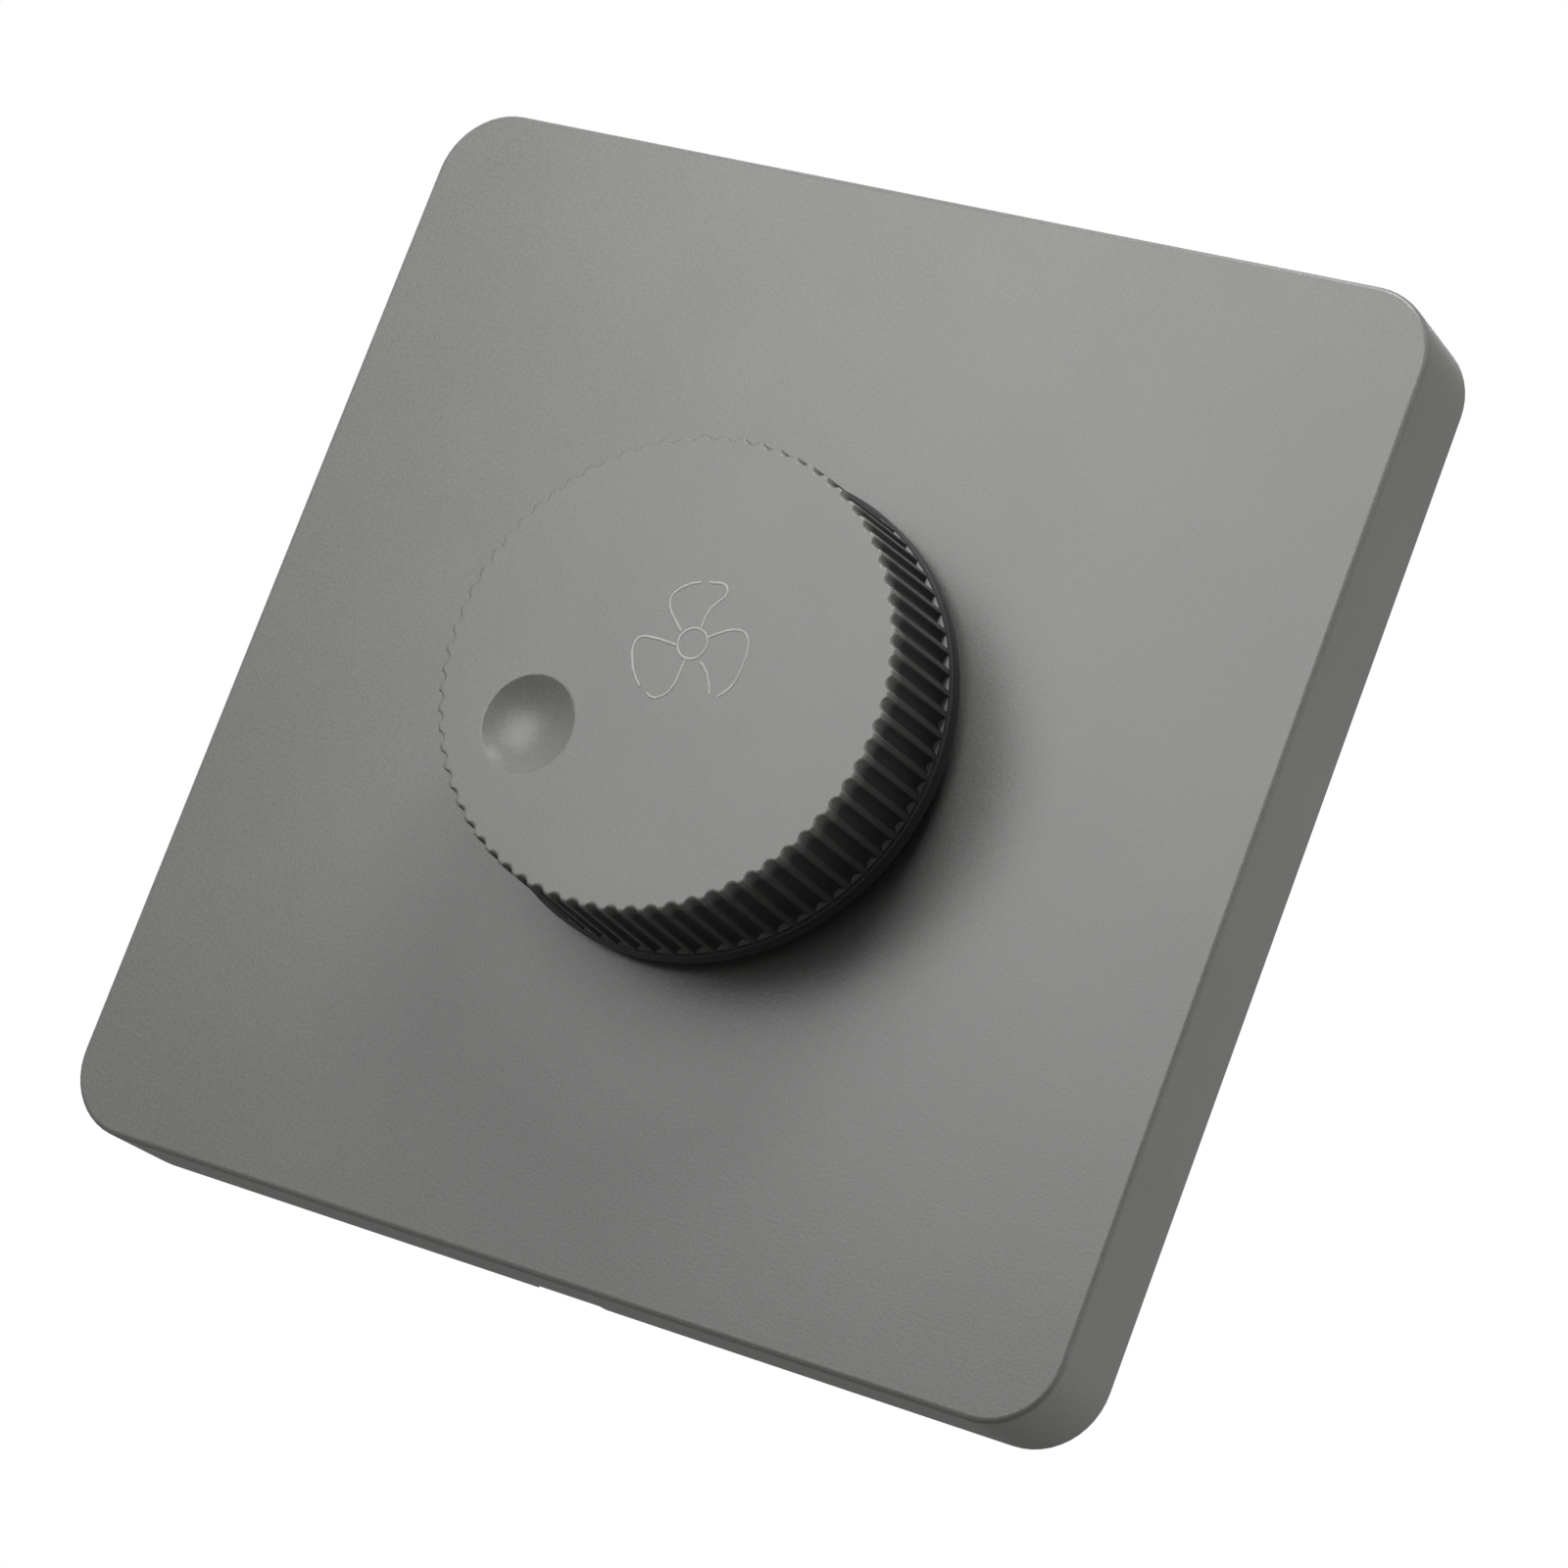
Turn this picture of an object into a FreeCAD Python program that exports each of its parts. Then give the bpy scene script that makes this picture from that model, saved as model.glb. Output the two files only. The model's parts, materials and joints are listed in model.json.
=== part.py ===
import FreeCAD, Part
import math
import os
import Sketcher
from types import SimpleNamespace
from FreeCAD import Placement, Rotation, Vector

# Fan speed controller on a square wall plate, in millimetres.
# X runs to the right, Z up, and Y into the wall. The origin is the middle of the plate on the wall
# plane, so the cover and the knob have negative Y and the housing in the wall box positive Y.

SIZES = {
    # front cover
    "cover_side": 86.0,
    "cover_depth": 8.7,
    "cover_wall": 1.8,
    "cover_skin": 2.0,
    "cover_corner": 5.6,
    "cover_edge": 0.8,
    "rim_gap": 0.2,
    "hub_hole": 7.0,
    "pry_width": 6.0,
    "pry_depth": 1.2,
    "hook_setback": 2.0,
    "hook_height": 22.0,
    "hook_width": 8.0,
    "hook_thickness": 1.2,
    "hook_barb": 0.8,
    "stiffener_width": 1.0,
    "stiffener_height": 1.0,
    # knob
    "knob_gap": 1.2,
    "knob_height": 10.27,
    "knob_top_radius": 18.17,
    "knob_foot_radius": 18.6,
    "knob_flange_radius": 18.88,
    "knob_flange_height": 1.4,
    "knob_skin": 2.4,
    "knob_cavity_top": 16.2,
    "knob_cavity_foot": 16.7,
    "knob_hub_radius": 5.2,
    "knob_rib_count": 6,
    "knob_rib_width": 1.0,
    "knob_rib_height": 4.0,
    "flute_count": 72,
    "flute_depth": 0.47,
    "flute_width": 1.19,
    "flute_overrun": 0.5,
    "dimple_x": -9.0,
    "dimple_z": -6.35,
    "dimple_radius": 3.75,
    "dimple_depth": 0.95,
    "dimple_edge": 0.3,
    "spring_thickness": 0.4,
    "spring_width": 3.6,
    "spring_length": 6.5,
    "spring_hook": 2.4,
    # shaft and rotor of the potentiometer
    "shaft_radius": 3.0,
    "shaft_flat": 1.5,
    "shaft_flat_length": 9.0,
    "shaft_tip_gap": 0.3,
    "shaft_collar_radius": 4.2,
    "shaft_collar_length": 0.8,
    "tang_half": 1.7,
    "tang_length": 5.0,
    "running_clearance": 0.05,
    "end_play": 0.2,
    "rotor_radius": 6.6,
    "rotor_thickness": 1.6,
    "rotor_hub_radius": 3.2,
    "stop_arm_radius": 7.8,
    "stop_arm_half_angle": 9.0,
    "stop_spare_angle": 1.0,
    "stop_peg_half_angle": 6.0,
    "travel_angle": 270.0,
    "cam_radius": 4.6,
    "cam_half_angle": 12.0,
    "cam_width": 2.0,
    "cam_root": 0.5,
    "wiper_inner": 3.6,
    "wiper_thickness": 0.2,
    "wiper_width": 3.0,
    "wiper_reach": 6.2,
    "wiper_lift": 0.05,
    # fixed parts of the potentiometer
    "pot_radius": 8.6,
    "pot_plate_thickness": 1.2,
    "bushing_radius": 3.5,
    "bushing_length": 6.2,
    "stop_ring_inner": 6.9,
    "rotor_to_board": 0.9,
    "element_thickness": 1.0,
    "element_hole": 3.6,
    "tongue_half_width": 6.8,
    "tongue_reach": 13.6,
    "element_top": 4.4,
    "terminal_pitch": 5.0,
    "terminal_width": 1.2,
    "terminal_thickness": 0.4,
    "terminal_top": 9.2,
    "shell_thickness": 0.35,
    "shell_tab_half_angle": 8.0,
    "shell_notch_half_angle": 9.0,
    "lug_x_half": 1.3,
    "lug_low": 7.2,
    "lug_high": 8.4,
    "lug_height": 1.2,
    "lug_gap": 0.15,
    "switch_depth": 5.6,
    "switch_wall": 1.0,
    "cam_setback": 0.8,
    "leaf_half_length": 4.9,
    "leaf_thickness": 0.3,
    "leaf_tail": 1.2,
    "contact_gap": 0.8,
    "tail_insulation": 0.4,
    "nut_across_flats": 10.0,
    "nut_thickness": 2.2,
    "thread_clearance": 0.1,
    # mounting frame
    "frame_clearance": 0.35,
    "frame_thickness": 2.4,
    "frame_rim_height": 3.0,
    "frame_rim_wall": 1.4,
    "frame_rib_level": 13.0,
    "frame_rib_width": 1.2,
    "frame_rib_height": 1.6,
    "nut_opening": 9.5,
    "seat_depth": 0.2,
    "seat_gap": 0.3,
    "fixing_spacing": 60.3,
    "fixing_slot_radius": 2.25,
    "fixing_slot_length": 8.5,
    "fixing_pad_margin": 2.6,
    "fixing_pad_height": 1.0,
    "hook_pocket_depth": 1.3,
    "hook_play": 0.3,
    # metal heat sink and its screws
    "sink_thickness": 1.5,
    "sink_gap": 0.9,
    "sink_half_height": 17.4,
    "sink_bend": 1.9,
    # rear housing
    "housing_half_height": 27.0,
    "housing_depth": 27.0,
    "housing_wall": 1.6,
    "housing_corner": 2.5,
    "housing_edge": 1.0,
    "clip_start": 8.0,
    "clip_width": 7.0,
    "clip_thickness": 1.3,
    "clip_gap": 0.2,
    "clip_barb": 0.9,
    "clip_shoulder": 3.0,
    "clip_reach": 5.0,
    "board_rib_reach": 1.5,
    "board_rib_width": 1.6,
    "board_rib_z": 9.0,
    "vent_count": 5,
    "vent_width": 1.6,
    "vent_length": 15.0,
    "vent_pitch": 3.6,
    "vent_first": 1.0,
    # circuit board
    "board_gap": 0.8,
    "board_thickness": 1.6,
    "board_edge_gap": 0.5,
    "lead_hole": 0.5,
    "lead_radius": 0.3,
    "lead_tail": 1.0,
    # triac and what fixes it
    "triac_pot_gap": 1.15,
    "triac_side_gap": 0.85,
    "triac_top": 16.4,
    "triac_width": 9.9,
    "triac_body_length": 9.0,
    "triac_body_height": 4.3,
    "triac_tab_length": 6.3,
    "triac_tab_thickness": 1.3,
    "triac_hole_radius": 1.8,
    "triac_hole_offset": 3.0,
    "triac_lead_pitch": 2.54,
    "triac_lead_width": 0.8,
    "triac_lead_thickness": 0.5,
    "triac_lead_level": 2.7,
    "triac_lead_run": 3.0,
    "triac_screw_radius": 1.45,
    "triac_screw_head": 2.7,
    "triac_screw_head_height": 1.8,
    "screw_clearance": 0.1,
    # other components on the board
    "filter_x": 12.2,
    "filter_z": 11.0,
    "filter_length": 13.0,
    "filter_width": 6.0,
    "filter_height": 10.0,
    "filter_pitch": 10.0,
    "timing_x": 14.4,
    "timing_z": -16.0,
    "timing_length": 7.2,
    "timing_width": 4.0,
    "timing_height": 8.0,
    "timing_pitch": 5.0,
    "case_corner": 0.6,
    "choke_x": -15.7,
    "choke_wall_gap": 1.6,
    "choke_core_radius": 2.2,
    "choke_core_length": 9.0,
    "choke_coil_radius": 3.6,
    "choke_coil_length": 8.4,
    "choke_coil_gap": 0.1,
    "axial_lift": 0.3,
    "resistor_radius": 1.2,
    "resistor_length": 6.4,
    "resistor_span": 10.0,
    "resistor_x": 14.6,
    "resistor_first": 0.0,
    "resistor_pitch": 4.0,
    "diac_radius": 1.0,
    "diac_length": 3.8,
    "diac_span": 7.6,
    "diac_x": -15.6,
    "diac_z": -5.2,
    # terminal block
    "block_half_width": 10.5,
    "block_bottom": 27.0,
    "block_top": 15.8,
    "block_proud": 0.6,
    "block_gap": 0.15,
    "block_floor": 2.2,
    "way_pitch": 10.0,
    "cage_width": 6.4,
    "cage_depth": 8.0,
    "cage_height": 6.0,
    "cage_gap": 0.1,
    "cage_setback": 1.0,
    "cage_wire_width": 4.0,
    "cage_wall": 1.0,
    "cage_pin_width": 1.0,
    "wire_entry_radius": 1.7,
    "clamp_screw_radius": 1.5,
    "clamp_screw_clearance": 0.03,
    "clamp_screw_head": 2.2,
    "clamp_screw_head_height": 1.7,
    "clamp_screw_recess": 0.5,
    "clamp_screw_bite": 0.2,
    "head_hole_clearance": 0.2,
    "slot_width": 0.7,
    "slot_depth": 0.8,
}

doc = FreeCAD.newDocument("fan_speed_control")
sheet = doc.addObject("Spreadsheet::Sheet", "Sizes")
for row, (alias, number) in enumerate(SIZES.items(), 1):
    sheet.set(f"A{row}", alias)
    sheet.set(f"B{row}", str(number))
    sheet.setAlias(f"B{row}", alias)
doc.recompute()


# A size knows its number and the sheet formula that gives it

class Size:
    def __init__(self, number, formula):
        self.number = number
        self.formula = formula

    def __add__(self, other):
        return joined(self, other, "+", lambda a, b: a + b)

    def __radd__(self, other):
        return joined(other, self, "+", lambda a, b: a + b)

    def __sub__(self, other):
        return joined(self, other, "-", lambda a, b: a - b)

    def __rsub__(self, other):
        return joined(other, self, "-", lambda a, b: a - b)

    def __mul__(self, other):
        return joined(self, other, "*", lambda a, b: a * b)

    def __rmul__(self, other):
        return joined(other, self, "*", lambda a, b: a * b)

    def __truediv__(self, other):
        return joined(self, other, "/", lambda a, b: a / b)

    def __neg__(self):
        return joined(0, self, "-", lambda a, b: a - b)


def size(value):
    if isinstance(value, Size):
        return value
    return Size(float(value), f"({float(value)})")


def joined(left, right, sign, work):
    a, b = size(left), size(right)
    return Size(work(a.number, b.number), f"({a.formula} {sign} {b.formula})")


def cosine(angle):
    angle = size(angle)
    return Size(math.cos(math.radians(angle.number)), f"cos({angle.formula})")


def sine(angle):
    angle = size(angle)
    return Size(math.sin(math.radians(angle.number)), f"sin({angle.formula})")


def arcsine(ratio):
    return Size(math.degrees(math.asin(ratio.number)), f"asin({ratio.formula})")


def arctangent(ratio):
    return Size(math.degrees(math.atan(ratio.number)), f"atan({ratio.formula})")


s = SimpleNamespace(**{alias: Size(number, f"Sizes.{alias}") for alias, number in SIZES.items()})
zero = size(0)


def bind(thing, **formulas):
    # binds properties by name; two underscores in a name stand for a dot
    for path, value in formulas.items():
        thing.setExpression(path.replace("__", "."), size(value).formula)


# Sketches and features inside a body

def origin_feature(body, role):
    return next(f for f in body.Origin.OriginFeatures if f.Role == role)


def new_body(label):
    return doc.addObject("PartDesign::Body", label)


def front_sketch(body, label, level):
    # a sketch seen from the front, X right and Z up, at that level of Y
    sketch = body.newObject("Sketcher::SketchObject", label)
    sketch.AttachmentSupport = [(origin_feature(body, "XZ_Plane"), "")]
    sketch.MapMode = "FlatFace"
    bind(sketch, AttachmentOffset__Base__z=-size(level))
    return sketch


def plan_sketch(body, label, level=zero):
    # a sketch seen from above, X right and Y into the wall, at that height of Z
    sketch = body.newObject("Sketcher::SketchObject", label)
    sketch.AttachmentSupport = [(origin_feature(body, "XY_Plane"), "")]
    sketch.MapMode = "FlatFace"
    bind(sketch, AttachmentOffset__Base__z=level)
    return sketch


def side_sketch(body, label, level=zero):
    # a sketch seen from the right, Y to the right and Z up, at that place of X
    sketch = body.newObject("Sketcher::SketchObject", label)
    sketch.AttachmentSupport = [(origin_feature(body, "YZ_Plane"), "")]
    sketch.MapMode = "FlatFace"
    bind(sketch, AttachmentOffset__Base__z=level)
    return sketch


def hold(sketch, kind, *where, to):
    index = sketch.addConstraint(Sketcher.Constraint(kind, *where, size(to).number))
    sketch.setExpression(f"Constraints[{index}]", size(to).formula)


def outline(sketch, corners):
    # a closed outline of straight runs through the corners
    first = sketch.GeometryCount
    corners = [(size(x), size(y)) for x, y in corners]
    points = [Vector(x.number, y.number, 0) for x, y in corners]
    for start, end in zip(points, points[1:] + points[:1]):
        sketch.addGeometry(Part.LineSegment(start, end), False)
    for place, (x, y) in enumerate(corners):
        line = first + place
        following = first + (place + 1) % len(corners)
        sketch.addConstraint(Sketcher.Constraint("Coincident", line, 2, following, 1))
        hold(sketch, "DistanceX", -1, 1, line, 1, to=x)
        hold(sketch, "DistanceY", -1, 1, line, 1, to=y)
    return sketch


def rectangle(sketch, left, right, low, high):
    return outline(sketch, [(left, low), (right, low), (right, high), (left, high)])


def circle(sketch, x, y, radius):
    x, y, radius = size(x), size(y), size(radius)
    line = sketch.addGeometry(
        Part.Circle(Vector(x.number, y.number, 0), Vector(0, 0, 1), radius.number), False
    )
    hold(sketch, "DistanceX", -1, 1, line, 3, to=x)
    hold(sketch, "DistanceY", -1, 1, line, 3, to=y)
    hold(sketch, "Radius", line, to=radius)
    return sketch


def flatted_circle(sketch, radius, flat):
    # a circle round the origin with a flat across its top
    radius, flat = size(radius), size(flat)
    rise = math.asin(flat.number / radius.number)
    ring = Part.Circle(Vector(0, 0, 0), Vector(0, 0, 1), radius.number)
    arc = sketch.addGeometry(Part.ArcOfCircle(ring, math.pi - rise, 2 * math.pi + rise), False)
    reach = radius.number * math.cos(rise)
    chord = sketch.addGeometry(
        Part.LineSegment(Vector(reach, flat.number, 0), Vector(-reach, flat.number, 0)), False
    )
    sketch.addConstraint(Sketcher.Constraint("Coincident", arc, 3, -1, 1))
    sketch.addConstraint(Sketcher.Constraint("Coincident", arc, 2, chord, 1))
    sketch.addConstraint(Sketcher.Constraint("Coincident", chord, 2, arc, 1))
    sketch.addConstraint(Sketcher.Constraint("Horizontal", chord))
    hold(sketch, "Radius", arc, to=radius)
    hold(sketch, "DistanceY", -1, 1, chord, 1, to=flat)
    return sketch


def wedge(sketch, inner, outer, middle, half):
    # four corners at two radii, to either side of an angle counted from X towards Z
    low, high = middle - half, middle + half
    return outline(
        sketch,
        [
            (inner * cosine(low), inner * sine(low)),
            (outer * cosine(low), outer * sine(low)),
            (outer * cosine(high), outer * sine(high)),
            (inner * cosine(high), inner * sine(high)),
        ],
    )


def feature(body, kind, label, sketch, length, backwards):
    made = body.newObject(kind, label)
    made.Profile = sketch
    made.Reversed = backwards
    bind(made, Length=length)
    body.Tip = made
    return made


# "out" is the way the sketch faces: to the front, up, or to the right

def pad_out(body, sketch, length):
    return feature(body, "PartDesign::Pad", sketch.Label + "_pad", sketch, length, False)


def pad_back(body, sketch, length):
    return feature(body, "PartDesign::Pad", sketch.Label + "_pad", sketch, length, True)


def pocket_out(body, sketch, length):
    return feature(body, "PartDesign::Pocket", sketch.Label + "_pocket", sketch, length, True)


def pocket_back(body, sketch, length):
    return feature(body, "PartDesign::Pocket", sketch.Label + "_pocket", sketch, length, False)


def turned(body, sketch):
    # the profile turned once round the Y axis
    made = body.newObject("PartDesign::Revolution", sketch.Label + "_turned")
    made.Profile = sketch
    made.ReferenceAxis = (sketch, ["V_Axis"])
    made.Angle = 360
    body.Tip = made
    return made


def polar(body, original, count):
    made = body.newObject("PartDesign::PolarPattern", original.Label + "_round")
    made.Originals = [original]
    made.Axis = (origin_feature(body, "Y_Axis"), [""])
    made.Angle = 360
    bind(made, Occurrences=count)
    body.Tip = made
    return made


def repeated(body, original, step, count):
    # copies in a row along the sketch's own upward direction
    made = body.newObject("PartDesign::LinearPattern", original.Label + "_row")
    made.Originals = [original]
    made.Direction = (original.Profile[0], ["V_Axis"])
    bind(made, Length=step * (size(count) - 1), Occurrences=count)
    body.Tip = made
    return made


def mirrored(body, original, role):
    made = body.newObject("PartDesign::Mirrored", original.Label + "_mirrored")
    made.Originals = [original]
    made.MirrorPlane = (origin_feature(body, role), [""])
    body.Tip = made
    return made


def rounded(body, label, radius, chosen, kind="PartDesign::Fillet"):
    # rounds or bevels the edges of the body so far for which chosen is true
    doc.recompute()
    base = body.Tip
    names = [f"Edge{i}" for i, edge in enumerate(base.Shape.Edges, 1) if chosen(edge)]
    made = body.newObject(kind, label)
    made.Base = (base, names)
    bind(made, **{"Radius" if kind.endswith("Fillet") else "Size": radius})
    body.Tip = made
    return made


near = 1e-4


def lies_at(edge, axis, *levels):
    # true if every point of the edge has one of these levels on that axis
    spots = [getattr(v.Point, axis) for v in edge.Vertexes]
    return any(all(abs(spot - size(level).number) < near for spot in spots) for level in levels)


def runs_along(edge, axis):
    if len(edge.Vertexes) < 2:
        return False
    run = edge.Vertexes[1].Point - edge.Vertexes[0].Point
    return abs(abs(getattr(run, axis)) - run.Length) < near and run.Length > near


def upright_corner(edge, half_width, half_height):
    # an edge along Y at one of the four corners of a rectangle
    spot = edge.Vertexes[0].Point
    return (
        runs_along(edge, "y")
        and abs(abs(spot.x) - size(half_width).number) < near
        and abs(abs(spot.z) - size(half_height).number) < near
    )


# Blocks, rods and joins outside the bodies

TURNS = {
    "x": Rotation(Vector(0, 1, 0), 90),
    "y": Rotation(Vector(1, 0, 0), -90),
    "z": Rotation(),
}


def placed(thing, x, y, z):
    bind(thing, Placement__Base__x=x, Placement__Base__y=y, Placement__Base__z=z)
    return thing


def block(label, x, y, z):
    # a block between two levels on each axis
    made = doc.addObject("Part::Box", label)
    bind(made, Length=x[1] - x[0], Width=y[1] - y[0], Height=z[1] - z[0])
    return placed(made, x[0], y[0], z[0])


def rod(label, axis, start, length, radius):
    made = doc.addObject("Part::Cylinder", label)
    made.Placement = Placement(Vector(0, 0, 0), TURNS[axis])
    bind(made, Radius=radius, Height=length)
    return placed(made, *start)


def fused(label, *shapes):
    made = doc.addObject("Part::MultiFuse", label)
    made.Shapes = list(shapes)
    made.Refine = True
    return made


def less(label, base, *tools):
    made = doc.addObject("Part::Cut", label)
    made.Base = base
    made.Tool = tools[0] if len(tools) == 1 else fused(label + "_tools", *tools)
    made.Refine = True
    return made


def group(label, *shapes):
    # separate like solids kept under one name
    made = doc.addObject("Part::Compound", label)
    made.Links = list(shapes)
    return made


# Levels of Y shared by the pieces, from the knob's top back to the housing's rear

face = -(s.rim_gap + s.cover_depth)
inside_face = face + s.cover_skin
knob_foot = face - s.knob_gap
knob_top = knob_foot - s.knob_height
flange_top = knob_foot - s.knob_flange_height
bore_end = knob_top + s.knob_skin
shaft_tip = bore_end + s.shaft_tip_gap
seat = -s.seat_depth
pot_front = seat + s.sink_thickness
pot_plate_back = pot_front + s.pot_plate_thickness
collar_front = pot_plate_back + s.end_play
rotor_front = collar_front + s.shaft_collar_length
rotor_back = rotor_front + s.rotor_thickness
element_front = rotor_back + s.rotor_to_board
element_back = element_front + s.element_thickness
switch_back = element_back + s.switch_depth
shell_back = switch_back + s.shell_thickness
cam_front = element_back + s.cam_setback
cam_back = cam_front + s.cam_width
board_front = shell_back + s.board_gap
board_back = board_front + s.board_thickness
tail_end = board_back + s.lead_tail
housing_inside = s.housing_depth - s.housing_wall

# Widths that follow from each other, from the potentiometer out to the housing

triac_x = -(s.pot_radius + s.triac_pot_gap + s.triac_width / 2)
sink_inside = -triac_x + s.triac_width / 2 + s.triac_side_gap
sink_half_width = sink_inside + s.sink_thickness
housing_half_width = sink_half_width + s.sink_gap + s.housing_wall
hook_reach = s.cover_side / 2 - s.cover_wall - s.hook_setback - s.hook_thickness

shaft_flat_level = s.shaft_radius - s.shaft_flat
knob_bore = s.shaft_radius + s.running_clearance
knob_bore_flat = shaft_flat_level + s.spring_thickness + s.running_clearance
shell_inside = s.pot_radius - s.shell_thickness
switch_radius = shell_inside - s.running_clearance
leaf_level = s.cam_radius + s.running_clearance
pieces = {}


# Knob: a turned cap with straight flutes, each cut by a leaning tool whose round side has three flats

flute_shares = (-1, -1 / 3, 1 / 3, 1)


def make_knob():
    body = new_body("knob")
    sketch = plan_sketch(body, "knob_profile")
    outline(
        sketch,
        [
            (zero, knob_top),
            (s.knob_top_radius, knob_top),
            (s.knob_foot_radius, flange_top),
            (s.knob_foot_radius, knob_foot),
            (s.knob_cavity_foot, knob_foot),
            (s.knob_cavity_top, bore_end),
            (s.knob_hub_radius, bore_end),
            (s.knob_hub_radius, knob_foot),
            (zero, knob_foot),
        ],
    )
    turned(body, sketch)
    # the tool's circle passes through both crests and the root of a flute
    tool = (s.flute_depth * s.flute_depth + s.flute_width * s.flute_width / 4) / (2 * s.flute_depth)
    slope = (s.knob_foot_radius - s.knob_top_radius) / (s.knob_height - s.knob_flange_height)
    sketch = body.newObject("Sketcher::SketchObject", "flute")
    sketch.AttachmentSupport = [(origin_feature(body, "XZ_Plane"), "")]
    sketch.MapMode = "FlatFace"
    sketch.AttachmentOffset = Placement(Vector(0, 0, 0), Rotation(Vector(0, -1, 0), 1))
    reach = s.knob_top_radius - s.flute_depth + tool - s.flute_overrun * slope
    bind(
        sketch,
        AttachmentOffset__Base__x=reach,
        AttachmentOffset__Base__z=-knob_top + s.flute_overrun,
        AttachmentOffset__Rotation__Angle=arctangent(slope),
    )
    half = arcsine(s.flute_width / 2 / tool)
    hollow = [(-tool * cosine(half * share), tool * sine(half * share)) for share in flute_shares]
    outline(sketch, [(tool, -s.flute_width / 2), *hollow, (tool, s.flute_width / 2)])
    flute = pocket_back(body, sketch, s.knob_height + s.flute_overrun)
    polar(body, flute, s.flute_count)
    # the flange closes the flutes at the foot
    sketch = front_sketch(body, "flange", knob_foot)
    circle(sketch, zero, zero, s.knob_flange_radius)
    circle(sketch, zero, zero, s.knob_cavity_foot)
    pad_out(body, sketch, s.knob_flange_height)
    sketch = front_sketch(body, "knob_rib", bore_end)
    rectangle(
        sketch,
        s.knob_hub_radius - s.knob_rib_width,
        s.knob_cavity_top + s.knob_rib_width / 2,
        -s.knob_rib_width / 2,
        s.knob_rib_width / 2,
    )
    polar(body, pad_back(body, sketch, s.knob_rib_height), s.knob_rib_count)
    # bore for the flatted shaft, open at the foot
    sketch = front_sketch(body, "knob_bore", knob_foot)
    flatted_circle(sketch, knob_bore, knob_bore_flat)
    pocket_out(body, sketch, knob_foot - bore_end)
    # finger dimple: a ball sunk into the top
    ball = (s.dimple_radius * s.dimple_radius + s.dimple_depth * s.dimple_depth) / (2 * s.dimple_depth)
    dimple = body.newObject("PartDesign::SubtractiveSphere", "dimple")
    dimple.AttachmentSupport = [(origin_feature(body, "XZ_Plane"), "")]
    dimple.MapMode = "FlatFace"
    bind(
        dimple,
        Radius=ball,
        AttachmentOffset__Base__x=s.dimple_x,
        AttachmentOffset__Base__y=s.dimple_z,
        AttachmentOffset__Base__z=-knob_top + ball - s.dimple_depth,
    )
    body.Tip = dimple
    centre = Vector(s.dimple_x.number, knob_top.number, s.dimple_z.number)
    rounded(
        body,
        "dimple_edge",
        s.dimple_edge,
        lambda e: lies_at(e, "y", knob_top)
        and e.CenterOfMass.distanceToPoint(centre) < s.dimple_radius.number / 2,
    )
    pieces["knob"] = body
    # steel leaf between the shaft's flat and the bore's flat, hooked over the hub's foot
    half = s.spring_width / 2
    leaf_low = shaft_flat_level + s.running_clearance / 2
    leaf_high = leaf_low + s.spring_thickness
    foot = knob_foot + s.spring_thickness
    leaf = block(
        "spring_leaf", (-half, half), (knob_foot - s.spring_length, foot), (leaf_low, leaf_high)
    )
    hook = block("spring_hook", (-half, half), (knob_foot, foot), (leaf_low, leaf_high + s.spring_hook))
    pieces["knob_spring"] = fused("knob_spring", leaf, hook)


# Shaft, rotor and wiper: what turns with the knob

def make_shaft():
    body = new_body("pot_shaft")
    sketch = plan_sketch(body, "shaft_profile")
    outline(
        sketch,
        [
            (zero, shaft_tip),
            (s.shaft_radius, shaft_tip),
            (s.shaft_radius, collar_front),
            (s.shaft_collar_radius, collar_front),
            (s.shaft_collar_radius, rotor_front),
            (zero, rotor_front),
        ],
    )
    turned(body, sketch)
    sketch = front_sketch(body, "shaft_flat", shaft_tip)
    rectangle(sketch, -s.shaft_radius, s.shaft_radius, shaft_flat_level, s.shaft_radius + s.shaft_flat)
    pocket_back(body, sketch, s.shaft_flat_length)
    # square tang that drives the rotor
    sketch = front_sketch(body, "tang", rotor_front)
    rectangle(sketch, -s.tang_half, s.tang_half, -s.tang_half, s.tang_half)
    pad_back(body, sketch, s.tang_length)
    pieces["pot_shaft"] = body


# The arm starts beside the stop and meets its other side at the end of travel

down = size(270)
up = size(90)
arm_start = down - (360 - s.travel_angle) / 2
stop_half_angle = (360 - s.travel_angle) / 2 - s.stop_arm_half_angle - s.stop_spare_angle


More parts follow.
